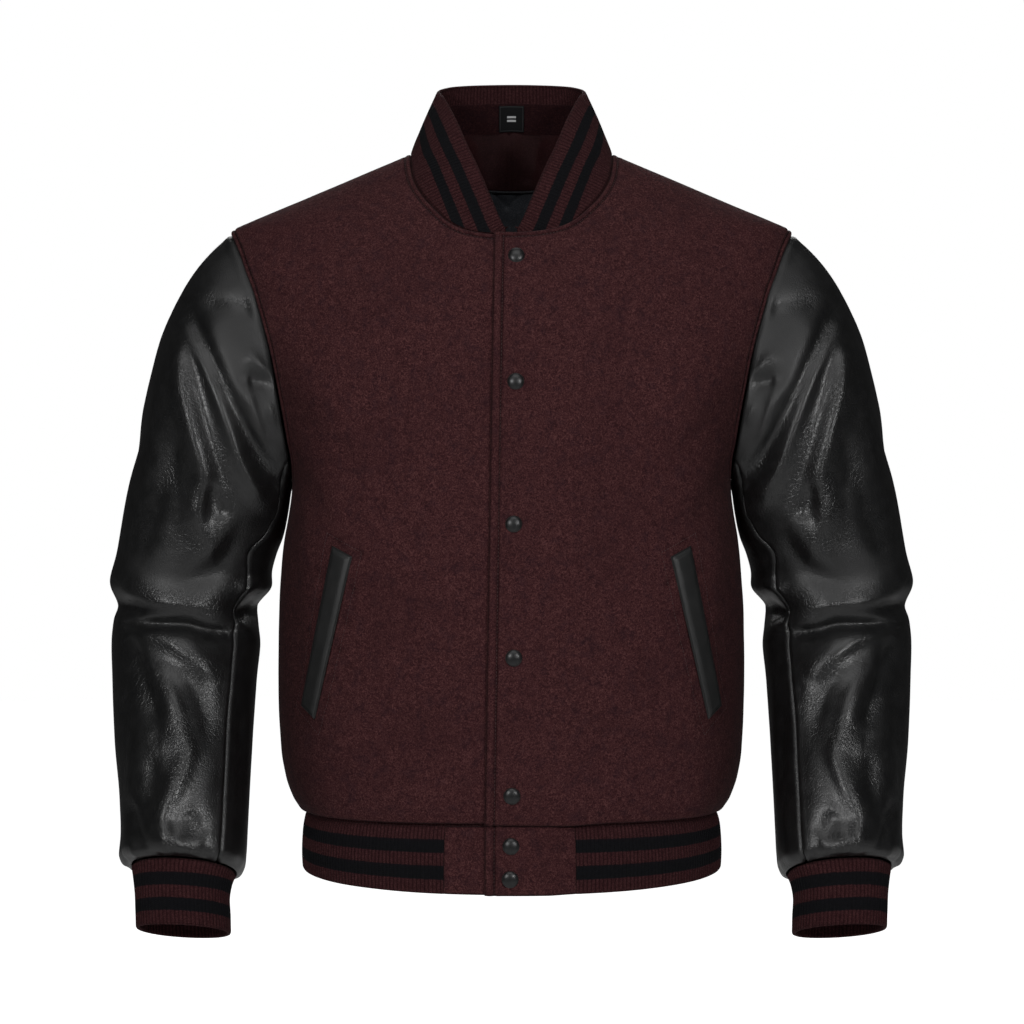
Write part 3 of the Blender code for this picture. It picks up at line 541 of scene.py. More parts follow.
# ------------------------------------------------------------------ forms
@dataclass(frozen=True)
class BodyForm:
    """The hollow form of the body, with its armholes and neckline."""

    # height, half width, front depth, back depth, squareness
    torso_rows: Rows = (
        (-0.6150, 0.1905, 0.1455, 0.1330, 2.40),
        (-0.6080, 0.1985, 0.1495, 0.1385, 2.40),
        (-0.5980, 0.2050, 0.1525, 0.1425, 2.40),
        (-0.5800, 0.2112, 0.1548, 0.1458, 2.38),
        (-0.5560, 0.2152, 0.1560, 0.1468, 2.36),
        (-0.5200, 0.2172, 0.1560, 0.1458, 2.35),
        (-0.4700, 0.2178, 0.1545, 0.1438, 2.35),
        (-0.4200, 0.2168, 0.1525, 0.1418, 2.35),
        (-0.3850, 0.2145, 0.1505, 0.1406, 2.35),
        (-0.3600, 0.2118, 0.1490, 0.1400, 2.35),
        (-0.3400, 0.2085, 0.1480, 0.1398, 2.35),
        (-0.3200, 0.2058, 0.1470, 0.1398, 2.35),
        (-0.3060, 0.2050, 0.1462, 0.1398, 2.35),
        (-0.2900, 0.2090, 0.1453, 0.1397, 2.35),
        (-0.2700, 0.2170, 0.1440, 0.1396, 2.35),
        (-0.2340, 0.2290, 0.1410, 0.1390, 2.35),
        (-0.1880, 0.2420, 0.1345, 0.1370, 2.33),
        (-0.1410, 0.2555, 0.1235, 0.1320, 2.30),
        (-0.1100, 0.2632, 0.1110, 0.1262, 2.27),
        (-0.0900, 0.2650, 0.1000, 0.1220, 2.24),
        (-0.0800, 0.2648, 0.0935, 0.1206, 2.22),
        (-0.0745, 0.2630, 0.0900, 0.1198, 2.22),
        (-0.0700, 0.2575, 0.0868, 0.1190, 2.21),
        (-0.0650, 0.2468, 0.0832, 0.1180, 2.21),
        (-0.0500, 0.2117, 0.0715, 0.1145, 2.20),
        (-0.0300, 0.1649, 0.0560, 0.1080, 2.20),
        (-0.0100, 0.1180, 0.0400, 0.0980, 2.20),
        (0.0000, 0.0946, 0.0320, 0.0930, 2.20),
        (0.0120, 0.0665, 0.0220, 0.0850, 2.20),
        (0.0300, 0.0243, 0.0100, 0.0600, 2.20),
    )
    # height at the centre front, height at the side seam, from the hem to the underarm
    body_rows: Rows = (
        (-0.6090, -0.6125), (-0.6020, -0.6050), (-0.5880, -0.5900), (-0.5660, -0.5670),
        (-0.5300, -0.5300), (-0.4850, -0.4850), (-0.4400, -0.4400), (-0.3980, -0.3980),
        (-0.3640, -0.3640), (-0.3360, -0.3340), (-0.3060, -0.3060),
    )
    # height, front reach, back reach, from the underarm to the shoulder tip
    armhole_rows: Rows = (
        (-0.3060, 0.000, 0.000), (-0.3030, 0.140, 0.140), (-0.2930, 0.280, 0.290),
        (-0.2750, 0.380, 0.410), (-0.2340, 0.465, 0.510), (-0.1880, 0.488, 0.535),
        (-0.1410, 0.468, 0.520), (-0.1050, 0.396, 0.450), (-0.0830, 0.253, 0.300),
        (-0.0745, 0.000, 0.000),
    )
    # height, distance from the centre, from the centre front to the high shoulder point
    neck_front: Rows = (
        (-0.0861, 0.0000), (-0.0852, 0.0200), (-0.0812, 0.0409), (-0.0739, 0.0555),
        (-0.0603, 0.0695), (-0.0430, 0.0830), (-0.0239, 0.0914), (0.0000, 0.0946),
    )
    # height, share of the half width, from the centre back
    neck_back: Rows = (
        (0.0120, 0.000), (0.0095, 0.420), (0.0060, 0.720), (0.0030, 0.900),
        (0.0010, 0.975), (0.0000, 1.000),
    )
    armhole_steps: int = 12
    neck_front_steps: int = 7
    neck_back_steps: int = 5

    def section(self, z: Array) -> Array:
        """Return half width, front depth, back depth and squareness at heights z."""
        table = np.array(self.torso_rows)
        return np.moveaxis(smooth_table(table[:, 0], table[:, 1:], z), -1, 0)

    def angle_at(self, x: Array, z: Array) -> Array:
        """Return the angle where the section at height z has this x."""
        width, _, _, power = self.section(z)
        return share_angle(np.asarray(x) / width, power)

    def point(self, angle: Array, z: Array, back: bool = False) -> Array:
        """Return the form's points; angle 0 is the centre line and 90 degrees the side."""
        angle = np.asarray(angle, float)
        width, front, rear, power = self.section(z)
        s, c = np.sin(angle), np.cos(angle)
        r = square_reach(s, c, power)
        y = rear * r * c if back else -front * r * c
        return np.stack([width * r * s, y, np.broadcast_to(z, np.shape(y)) + 0.0 * y], -1)

    def normal(self, angle: Array, z: Array, back: bool = False) -> Array:
        """Return the form's outward normals."""
        step = 1e-4
        across = self.point(angle + step, z, back) - self.point(angle - step, z, back)
        up = self.point(angle, z + step, back) - self.point(angle, z - step, back)
        return unit(np.cross(up, across) if back else np.cross(across, up))

    def armhole(self, back: bool, steps: int) -> Pair:
        """Return angles and heights from the underarm to the shoulder tip."""
        table = np.array(self.armhole_rows)
        fine = np.linspace(0, len(table) - 1, 600)
        z = smooth_rows(table[:, 0], fine)
        reach = smooth_rows(table[:, 2 if back else 1], fine)
        power = self.section(z)[3]
        share = np.power(1 - np.clip(reach, 0, 1) ** power, 1 / power)
        angle = np.arctan2(share, reach)
        run, stops = even_stops(self.point(angle, z, back), steps)
        return np.interp(stops, run, angle), np.interp(stops, run, z)

    def neckline(self, back: bool, steps: int, edge: float = 0.0) -> Pair:
        """Return angles and heights from the centre, or the edge past it, to the shoulder."""
        table = np.array(self.neck_back if back else self.neck_front)
        fine = np.linspace(0, len(table) - 1, 500)
        z = smooth_rows(table[:, 0], fine)
        width, _, _, power = self.section(z)
        across = smooth_rows(table[:, 1], fine)
        angle = share_angle(across if back else across / width, power)
        if edge > 0:
            angle = np.concatenate([[self.angle_at(-edge, z[0])], angle])
            z = np.concatenate([z[:1], z])
        run, stops = even_stops(self.point(angle, z, back), steps)
        return np.interp(stops, run, angle), np.interp(stops, run, z)

    def half_panel(self, back: bool, fine: int, columns: int, edge_top: float = 0.0,
                   edge_hem: float = 0.0) -> tuple[Array, Array, int, int]:
        """Lay a half panel out as a grid, rows from the hem to the shoulder.

        Args:
            back: whether it's the back.
            fine: points to each of the form's own steps.
            columns: points across.
            edge_top: how far the inner edge is past the centre line at the neck.
            edge_hem: the same at the hem.

        Returns:
            Angles, heights, the row at the underarm and the row at the neck.
        """
        arm_angle, arm_z = self.armhole(back, self.armhole_steps * fine)
        neck_steps = (self.neck_back_steps if back else self.neck_front_steps) * fine
        neck_angle, neck_z = self.neckline(back, neck_steps, edge_top)
        rows = np.array(self.body_rows)
        low = smooth_rows(rows, np.linspace(0, len(rows) - 1, 8 * (len(rows) - 1) + 1))
        centre_steps = self.armhole_steps * fine - neck_steps
        crowd = 1 - (1 - np.linspace(0, 1, centre_steps + 1)[1:-1]) ** 1.5
        rise = low[-1, 0] + (neck_z[0] - low[-1, 0]) * crowd
        left_z = np.concatenate([low[:, 0], rise, neck_z])
        share = (left_z - left_z[0]) / (neck_z[0] - left_z[0])
        edge = edge_hem + (edge_top - edge_hem) * np.clip(share, 0, 1)
        left_angle = self.angle_at(-edge, left_z)
        neck_row = len(left_z) - len(neck_z)
        left_angle[neck_row:] = neck_angle
        right_z = np.concatenate([low[:, 1], arm_z[1:]])
        right_angle = np.concatenate([np.full(len(low), math.pi / 2), arm_angle[1:]])
        u = crowded(columns, 0.72)[None, :]
        angle = left_angle[:, None] * (1 - u) + right_angle[:, None] * u
        z = left_z[:, None] * (1 - u) + right_z[:, None] * u
        return angle, z, len(low) - 1, neck_row

    def armhole_loop(self, fine: int) -> Pair:
        """Return armhole points and normals, round from the shoulder tip by the front."""
        front_angle, front_z = self.armhole(False, self.armhole_steps * fine)
        back_angle, back_z = self.armhole(True, self.armhole_steps * fine)
        points = np.vstack([self.point(front_angle, front_z)[::-1],
                            self.point(back_angle, back_z, True)[1:-1]])
        normals = np.vstack([self.normal(front_angle, front_z)[::-1],
                             self.normal(back_angle, back_z, True)[1:-1]])
        return points, normals


def share_angle(share: Array, power: Array) -> Array:
    """Turn a share of the half width into the angle round a section."""
    share = np.clip(np.asarray(share, float), -1.0, 1.0)
    rest = np.power(np.maximum(1 - np.abs(share) ** power, 0.0), 1 / power)
    return np.arctan2(share, rest)


def tube_normals(grid: Array) -> Array:
    """Return outward normals of a tube of rings that closes round its steps."""
    round_arm = np.roll(grid, -1, 1) - np.roll(grid, 1, 1)
    return unit(np.cross(round_arm, np.gradient(grid, axis=0)))


def grid_normals(grid: Array) -> Array:
    """Return normals of an open grid, rows by columns."""
    return unit(np.cross(np.gradient(grid, axis=1), np.gradient(grid, axis=0)))


def outward(normals: Array, grid: Array) -> Array:
    """Turn each normal away from the upright middle line."""
    flat = grid * np.array([1.0, 1.0, 0.0])
    return normals * np.sign((normals * flat).sum(-1, keepdims=True))


def ring_points(table: Rows, station: Array, angles: Array) -> Array:
    """Return points of a sleeve's or cuff's rings at fractional stations."""
    data = np.array(table, float)
    row = smooth_rows(data, station)
    outer = np.stack([row[..., 0], 0 * row[..., 0], row[..., 1]], -1)
    inner = np.stack([row[..., 2], 0 * row[..., 0], row[..., 3]], -1)
    middle = (outer + inner) / 2
    middle[..., 1] = row[..., 4]
    side = (outer - inner) / 2
    pitch = np.radians(row[..., 6])
    front = np.stack([0 * pitch, -np.cos(pitch), np.sin(pitch)], -1) * (row[..., 5] / 2)[..., None]
    c, s = np.cos(angles), np.sin(angles)
    r = square_reach(s, c, ARM_SQUARE)
    return middle + side * (c * r)[..., None] + front * (s * r)[..., None]


@dataclass(frozen=True)
class SleeveForm:
    """The hollow form of the wearer's left sleeve."""

    # outer x, outer z, inner x, inner z, middle y, depth, pitch in degrees
    rings: Rows = (
        (0.3510, -0.2676, 0.2090, -0.3270, 0.004, 0.146, 0.0),
        (0.3631, -0.3242, 0.2154, -0.3574, 0.011, 0.148, 0.0),
        (0.3721, -0.3716, 0.2233, -0.3764, 0.017, 0.150, 2.0),
        (0.3787, -0.4020, 0.2309, -0.4020, 0.020, 0.150, 6.0),
        (0.3750, -0.4330, 0.2398, -0.4359, 0.016, 0.146, 12.0),
        (0.3761, -0.4608, 0.2377, -0.4608, 0.008, 0.142, 18.0),
        (0.3737, -0.4928, 0.2400, -0.4928, -0.004, 0.138, 22.0),
        (0.3680, -0.5467, 0.2411, -0.5467, -0.027, 0.132, 22.0),
        (0.3595, -0.5960, 0.2413, -0.5994, -0.050, 0.126, 23.0),
        (0.3550, -0.6300, 0.2410, -0.6330, -0.066, 0.120, 24.0),
        (0.3545, -0.6480, 0.2415, -0.6520, -0.0745, 0.116, 24.0),
        (0.3500, -0.6550, 0.2450, -0.6595, -0.0780, 0.106, 24.0),
        (0.3430, -0.6570, 0.2490, -0.6620, -0.0790, 0.092, 24.0),
    )
    # angle round from the shoulder tip, leave x, leave y, leave z, arrive length
    head: Rows = (
        (0.0, 0.180, 0.000, -0.140, 0.200), (45.0, 0.160, -0.050, -0.100, 0.170),
        (90.0, 0.120, -0.045, -0.060, 0.130), (135.0, 0.045, -0.022, -0.040, 0.070),
        (180.0, 0.006, 0.000, -0.018, 0.020), (225.0, 0.045, 0.022, -0.040, 0.070),
        (270.0, 0.120, 0.045, -0.060, 0.130), (315.0, 0.160, 0.050, -0.100, 0.170),
        (360.0, 0.180, 0.000, -0.140, 0.200),
    )
    steps: int = 24
    fine: int = 7
    head_rings: int = 54
    arm_rings: int = 168
    front_seam: int = 10
    back_seam: int = 16
    # how far the front seam drifts round the arm: ring, degrees
    drift: Rows = ((0.0, 4.0), (1.0, -3.0), (2.0, -13.0), (3.0, -8.0), (4.0, -10.0),
                   (6.0, -12.0), (9.0, -16.0), (12.0, -16.0))
    drift_steps: tuple[int, int] = (4, 16)

    def ring(self, station: float, angles: Array) -> Array:
        """Return the ring at a station, its angles near the front seam drifted along with it."""
        step = angles * self.steps / (2 * math.pi)
        low, high = self.drift_steps
        near = np.where(step < self.front_seam, smoothstep(low, self.front_seam, step),
                        1 - smoothstep(self.front_seam, high, step))
        table = np.array(self.drift)
        turn = math.radians(float(smooth_table(table[:, 0], table[:, 1], min(station, 12.0))))
        return ring_points(self.rings, np.full(len(angles), station), angles + turn * near)

    def grid(self, body: BodyForm) -> Pair:
        """Return the sleeve's points, rings by steps, and the body's normals at the armhole."""
        count = self.steps * self.fine
        angles = 2 * math.pi * np.arange(count) / count
        loop, body_normals = body.armhole_loop(self.fine)
        head = np.array(self.head)
        leave = smooth_table(head[:, 0], head[:, 1:], np.degrees(angles))
        first, ahead = self.ring(0.0, angles), self.ring(0.05, angles)
        arrive = unit(ahead - first) * leave[:, 3:4]
        s = np.linspace(0, 1, self.head_rings + 1)[:-1]
        rings = [loop * (2 * t**3 - 3 * t**2 + 1) + leave[:, :3] * (t**3 - 2 * t**2 + t)
                 + first * (-2 * t**3 + 3 * t**2) + arrive * (t**3 - t**2)
                 for t in 0.35 * s**2 + 0.65 * s]
        last = len(self.rings) - 1
        keys = np.array([0, 0.25, 0.9, 1.0])
        stations = smooth_table(keys, np.array([0, 3.3, 9.6, last]),
                                np.linspace(0, 1, self.arm_rings))
        rings += [self.ring(float(s), angles) for s in stations]
        return np.array(rings), body_normals


@dataclass(frozen=True)
class CuffForm:
    """The hollow form of the wearer's left cuff."""

    rings: Rows = (
        (0.3425, -0.6580, 0.2495, -0.6630, -0.0796, 0.090, 24.0),
        (0.3405, -0.6680, 0.2530, -0.6720, -0.0830, 0.086, 22.0),
        (0.3387, -0.6810, 0.2545, -0.6850, -0.0875, 0.083, 20.0),
        (0.3375, -0.6950, 0.2530, -0.6990, -0.0925, 0.083, 19.0),
        (0.3360, -0.7100, 0.2520, -0.7135, -0.0975, 0.083, 19.0),
    )
    rows: int = 30
    steps: int = 384

    def grid(self) -> Array:
        """Return the cuff's points, rows by steps, from the seam to the free edge."""
        angles = 2 * math.pi * np.arange(self.steps) / self.steps
        stations = crowded(self.rows, 0.35) * (len(self.rings) - 1)
        return np.array([ring_points(self.rings, np.full(self.steps, k), angles) for k in stations])


@dataclass(frozen=True)
class CollarForm:
    """The hollow form of the stand collar."""

    # share of the neck seam, free edge x, y, z
    free_edge: Rows = (
        (0.000, 0.0055, -0.0995, -0.0812), (0.128, 0.0112, -0.0950, -0.0690),
        (0.184, 0.0158, -0.0905, -0.0576), (0.254, 0.0226, -0.0845, -0.0411),
        (0.340, 0.0307, -0.0745, -0.0216), (0.423, 0.0392, -0.0620, -0.0030),
        (0.490, 0.0530, -0.0330, 0.0310), (0.562, 0.0655, 0.0000, 0.0567),
        (0.660, 0.0695, 0.0230, 0.0655), (0.780, 0.0590, 0.0430, 0.0725),
        (0.900, 0.0310, 0.0575, 0.0770), (1.000, 0.0000, 0.0620, 0.0783),
    )
    roll: float = 0.0025
    end: tuple[float, float] = (0.0045, 0.0016)
    columns: int = 360
    rows: int = 26
    crowd: float = 0.45

    def half(self, body: BodyForm) -> tuple[Array, Array, Array]:
        """Return one half of the collar from the centre front to the centre back.

        Args:
            body: the form whose neckline it's sewn to.

        Returns:
            Points and normals, stations by rows from the seam to the free edge,
            and the share of the neck seam at each station.
        """
        front_angle, front_z = body.neckline(False, 140)
        back_angle, back_z = body.neckline(True, 100)
        seam = np.vstack([body.point(front_angle, front_z),
                          body.point(back_angle, back_z, True)[::-1][1:]])
        seat = np.vstack([body.normal(front_angle, front_z),
                          body.normal(back_angle, back_z, True)[::-1][1:]])
        run, stops = even_stops(seam, self.columns)
        seam = read_along(stops, run, seam)
        seat = unit(read_along(stops, run, seat))
        share = stops / stops[-1]
        end = 1 - smoothstep(0.0, 0.075, share)
        seam[:, 0] += self.end[0] * end
        seam[:, 2] += self.end[1] * end
        table = np.array(self.free_edge)
        edge = smooth_table(table[:, 0], table[:, 1:], share)
        rows = crowded(self.rows, self.crowd)[None, :, None]
        grid = seam[:, None] * (1 - rows) + edge[:, None] * rows
        normals = unit(np.cross(np.gradient(grid, axis=0), np.gradient(grid, axis=1)))
        grid = grid + normals * self.roll * np.sin(math.pi * rows) * smoothstep(
            0.1, 0.4, share)[:, None, None]
        blend = 1 - smoothstep(0.0, 0.22, rows)
        normals = unit(seat[:, None] * blend + normals * (1 - blend))
        normals[-1, :, 0] = 0.0
        return grid, unit(normals), share

    def whole(self, body: BodyForm) -> Pair:
        """Return the collar from the right end round the back to the left end."""
        grid, normals, _ = self.half(body)
        return (np.concatenate([mirrored(grid)[:-1], grid[::-1]]),
                np.concatenate([mirrored(normals)[:-1], normals[::-1]]))


@dataclass(frozen=True)
class BandForm:
    """The hollow form of the waistband."""

    # height at the side, half width, front depth, back depth
    rows: Rows = (
        (-0.6133, 0.1912, 0.1460, 0.1336), (-0.6290, 0.1945, 0.1490, 0.1368),
        (-0.6480, 0.1955, 0.1505, 0.1385), (-0.6650, 0.1948, 0.1500, 0.1380),
    )
    square: float = 2.45
    top_rise: float = 0.0037
    hem_dip: float = 0.0058

    def point(self, angle: Array, row: Array, back: Array) -> Array:
        """Return points at fractional rows, 0 at the top."""
        table = np.array(self.rows)
        z, width, front, rear = np.moveaxis(smooth_rows(table, row), -1, 0)
        s, c = np.sin(angle), np.cos(angle)
        r = square_reach(s, c, self.square)
        share = np.asarray(row) / (len(table) - 1)
        turn = 1 - np.abs(angle) / (math.pi / 2)
        height = z + self.top_rise * turn * (1 - share) - self.hem_dip * c * c * share
        y = np.where(back, rear * r * c, -front * r * c)
        return np.stack([width * r * s, y, height], -1)

    def angle(self, x: float) -> float:
        """Return the angle round the band at this x."""
        return float(share_angle(np.array(x / 0.1950), np.array(self.square)))

    def strip(self, angles: Array, back: Array, count: int) -> Array:
        """Return a strip of the band, rows from the top by the given angles."""
        rows = crowded(count, 0.4) * (len(self.rows) - 1)
        return self.point(angles[None, :], rows[:, None], back[None, :])


# ------------------------------------------------------------------ node trees
class NodePad:
    """Adds nodes to one tree and links them."""

    def __init__(self, tree: Tree) -> None:
        """Keep the tree."""
        self.tree = tree

    def add(self, kind: str, inputs: dict | None = None, **settings: object) -> bpy.types.Node:
        """Add a node.

        Args:
            kind: its type.
            inputs: a value or a socket for each input, by name or number.
            settings: its properties.

        Returns:
            The node.
        """
        node = self.tree.nodes.new(kind)
        for key, value in settings.items():
            setattr(node, key, value)
        for key, value in (inputs or {}).items():
            if isinstance(value, Socket):
                self.tree.links.new(value, node.inputs[key])
            else:
                node.inputs[key].default_value = value
        return node

    def math(self, operation: str, *values: object) -> Socket:
        """Add a Math node and return its output."""
        return self.add("ShaderNodeMath", dict(enumerate(values)), operation=operation).outputs[0]

    def plus(self, *values: object) -> Socket:
        """Add two values."""
        return self.math("ADD", *values)

    def minus(self, *values: object) -> Socket:
        """Take the second value from the first."""
        return self.math("SUBTRACT", *values)

    def times(self, *values: object) -> Socket:
        """Multiply two values."""
        return self.math("MULTIPLY", *values)

    def scaled(self, vector: Socket, scale: object) -> Socket:
        """Multiply a vector by a number."""
        return self.add("ShaderNodeVectorMath", {0: vector, "Scale": scale},
                        operation="SCALE").outputs[0]

    def mix(self, factor: object, first: object, second: object) -> Socket:
        """Mix two colours and return the result."""
        node = self.add("ShaderNodeMix", {0: factor}, data_type="RGBA")
        for socket, value in ((node.inputs[6], first), (node.inputs[7], second)):
            if isinstance(value, Socket):
                self.tree.links.new(value, socket)
            else:
                socket.default_value = (*value, 1.0)
        return node.outputs[2]

    def ramp(self, value: Socket, low: float, high: float) -> Socket:
        """Turn low into 0 and high into 1, with a soft curve between."""
        node = self.add("ShaderNodeMapRange", {"Value": value, "From Min": low, "From Max": high},
                        interpolation_type="SMOOTHSTEP")
        return node.outputs[0]

    def noise(self, place: Socket, scale: object, detail: float = 2.0,
              roughness: float = 0.5, swirl: float = 0.0) -> Socket:
        """Add a Noise Texture and return its value."""
        return self.add("ShaderNodeTexNoise", {"Vector": place, "Scale": scale, "Detail": detail,
                                               "Roughness": roughness,
                                               "Distortion": swirl}).outputs[0]

    def cells(self, place: Socket, scale: object) -> Socket:
        """Add a Voronoi Texture and return the distance to its cells' edges."""
        return self.add("ShaderNodeTexVoronoi", {"Vector": place, "Scale": scale},
                        feature="DISTANCE_TO_EDGE").outputs["Distance"]

    def group(self, tree: Tree, inputs: dict) -> bpy.types.NodeOutputs:
        """Place a shared effect and return its outputs."""
        return self.add("ShaderNodeGroup", inputs, node_tree=tree).outputs

    def place(self) -> Socket:
        """Return the place on the object in metres."""
        return self.add("ShaderNodeTexCoord").outputs["Object"]

    def flat_place(self) -> Socket:
        """Return the place on the flat cloth in metres."""
        return self.add("ShaderNodeUVMap", uv_map="cloth").outputs[0]

    def kept(self, name: str) -> Socket:
        """Return a value that the piece keeps at each point."""
        return self.add("ShaderNodeAttribute", attribute_name=name).outputs["Fac"]

    def seen(self) -> Socket:
        """Return 1 where the camera looks straight at it."""
        return self.add("ShaderNodeLightPath").outputs["Is Camera Ray"]

    def split(self, vector: Socket) -> bpy.types.Node:
        """Split a vector into its three parts."""
        return self.add("ShaderNodeSeparateXYZ", {0: vector})

    def bump(self, strength: float, distance: float, height: Socket) -> Socket:
        """Turn a height into a normal."""
        return self.add("ShaderNodeBump", {"Strength": strength, "Distance": distance,
                                           "Height": height}).outputs[0]

    def end(self, name: str, value: Socket) -> None:
        """Link a value to an output of the group."""
        self.tree.links.new(value, self.result[name])


SOCKETS = {"float": "NodeSocketFloat", "vector": "NodeSocketVector", "colour": "NodeSocketColor",
           "geometry": "NodeSocketGeometry", "material": "NodeSocketMaterial",
           "object": "NodeSocketObject", "int": "NodeSocketInt"}


def new_tree(name: str, kind: str, inputs: dict[str, tuple], outputs: dict[str, str]) -> NodePad:
    """Make an empty node group with named sockets.

    Args:
        name: the group's name.
        kind: ShaderNodeTree or GeometryNodeTree.
        inputs: a socket kind, and a starting value where it has one, for each input.
        outputs: a socket kind for each output.

    Returns:
        A pad on the group, which holds its input and output nodes.
    """
    tree = bpy.data.node_groups.new(name, kind)
    for label, (socket, *value) in inputs.items():
        made = tree.interface.new_socket(label, in_out="INPUT", socket_type=SOCKETS[socket])
        if value:
            made.default_value = value[0]
    for label, socket in outputs.items():
        tree.interface.new_socket(label, in_out="OUTPUT", socket_type=SOCKETS[socket])
    pad = NodePad(tree)
    pad.inside = pad.add("NodeGroupInput").outputs
    pad.result = pad.add("NodeGroupOutput").inputs
    return pad


def run_tree(piece: Piece, pad: NodePad, values: dict[str, object]) -> None:
    """Run a Geometry Nodes tree on a piece and keep the result as a plain mesh.

    Args:
        piece: the piece.
        pad: the tree.
        values: a value for each named input.
    """
    modifier = piece.modifiers.new("make", "NODES")
    modifier.node_group = pad.tree
    for item in pad.tree.interface.items_tree:
        if item.item_type == "SOCKET" and item.in_out == "INPUT" and item.name in values:
            modifier[item.identifier] = values[item.name]
    graph = bpy.context.evaluated_depsgraph_get()
    made = bpy.data.meshes.new_from_object(piece.evaluated_get(graph),
                                           preserve_all_data_layers=True, depsgraph=graph)
    piece.modifiers.remove(modifier)
    old = piece.data
    piece.data = made
    made.name = piece.name
    bpy.data.meshes.remove(old)


def attribute_field(pad: NodePad, name: str, kind: str = "FLOAT") -> Socket:
    """Read a named attribute in a Geometry Nodes tree."""
    return pad.add("GeometryNodeInputNamedAttribute", {"Name": name}, data_type=kind).outputs[0]


def finished(pad: NodePad, geometry: Socket) -> NodePad:
    """End a Geometry Nodes tree: a plain mesh in the finish that it's given."""
    whole = pad.add("GeometryNodeRealizeInstances", {0: geometry}).outputs[0]
    done = pad.add("GeometryNodeSetMaterial", {"Geometry": whole, "Material": pad.inside["Finish"]})
    pad.end("Geometry", done.outputs[0])
    return pad


def rib_knit_tree() -> NodePad:
    """Make the tree that raises the knitted ribs of a rib piece.

    Returns:
        The tree. The piece holds "along" in metres, "raise" as the way out and
        "knit" as how far the ribs take hold.
    """
    pad = new_tree("rib_knit", "GeometryNodeTree",
                   {"Geometry": ("geometry",), "Rib Pitch": ("float", RIB_PITCH),
                    "Rib Depth": ("float", 0.9 * MM), "Roundness": ("float", 2.6),
                    "Finish": ("material",)}, {"Geometry": "geometry"})
    phase = pad.math("DIVIDE", attribute_field(pad, "along"), pad.inside["Rib Pitch"])
    saw = pad.minus(pad.times(pad.math("FRACT", phase), 2.0), 1.0)
    groove = pad.math("POWER", pad.math("ABSOLUTE", saw), pad.inside["Roundness"])
    height = pad.times(pad.minus(0.30, groove), pad.inside["Rib Depth"])
    height = pad.times(height, attribute_field(pad, "knit"))
    way = attribute_field(pad, "raise", "FLOAT_VECTOR")
    moved = pad.add("GeometryNodeSetPosition",
                    {"Geometry": pad.inside["Geometry"],
                     "Offset": pad.scaled(way, height)}).outputs[0]
    return finished(pad, moved)


def stitch_row_tree() -> NodePad:
    """Make the tree that sews rows of stitches along lines that hold "out", the way off the cloth.

    Returns:
        The tree.
    """
    pad = new_tree("stitch_row", "GeometryNodeTree",
                   {"Geometry": ("geometry",), "Stitch Length": ("float", 2.6 * MM),
                    "Gap": ("float", 0.5 * MM), "Thread": ("float", 0.75 * MM),
                    "Height": ("float", 0.5 * MM), "Wander": ("float", 0.12),
                    "Seed": ("int", 4), "Finish": ("material",)}, {"Geometry": "geometry"})
    pitch = pad.plus(pad.inside["Stitch Length"], pad.inside["Gap"])
    curve = pad.add("GeometryNodeMeshToCurve", {0: pad.inside["Geometry"]}).outputs[0]
    even = pad.add("GeometryNodeResampleCurve", {"Curve": curve, "Length": pitch}, mode="LENGTH")
    turn = pad.add("FunctionNodeAxesToRotation",
                   {"Primary Axis": attribute_field(pad, "out", "FLOAT_VECTOR"),
                    "Secondary Axis": pad.add("GeometryNodeInputTangent").outputs[0]},
                   primary_axis="Z", secondary_axis="X")
    spread = pad.add("FunctionNodeRandomValue", {2: pad.minus(1.0, pad.inside["Wander"]),
                                                 3: pad.plus(1.0, pad.inside["Wander"]),
                                                 "Seed": pad.inside["Seed"]}, data_type="FLOAT")
    size = pad.add("ShaderNodeCombineXYZ", {0: pad.inside["Stitch Length"],
                                            1: pad.inside["Thread"], 2: pad.inside["Height"]})
    bead = pad.add("GeometryNodeMeshUVSphere", {"Segments": 6, "Rings": 5, "Radius": 0.5})
    row = pad.add("GeometryNodeInstanceOnPoints",
                  {"Points": even.outputs[0], "Instance": bead.outputs[0],
                   "Rotation": turn.outputs[0],
                   "Scale": pad.scaled(size.outputs[0], spread.outputs[1])}).outputs[0]
    return finished(pad, row)


def snap_set_tree() -> NodePad:
    """Make the tree that sets a snap cap on every point that holds "out", its way off the cloth.

    Returns:
        The tree.
    """
    pad = new_tree("snap_set", "GeometryNodeTree",
                   {"Geometry": ("geometry",), "Cap": ("object",), "Size": ("float", 1.0),
                    "Finish": ("material",)}, {"Geometry": "geometry"})
    cap = pad.add("GeometryNodeObjectInfo", {"Object": pad.inside["Cap"]})
    turn = pad.add("FunctionNodeAxesToRotation",
                   {"Primary Axis": attribute_field(pad, "out", "FLOAT_VECTOR"),
                    "Secondary Axis": (1.0, 0.0, 0.0)}, primary_axis="Z", secondary_axis="X")
    size = pad.add("ShaderNodeCombineXYZ", {k: pad.inside["Size"] for k in range(3)})
    row = pad.add("GeometryNodeInstanceOnPoints",
                  {"Points": pad.inside["Geometry"], "Instance": cap.outputs["Geometry"],
                   "Rotation": turn.outputs[0], "Scale": size.outputs[0]}).outputs[0]
    return finished(pad, row)


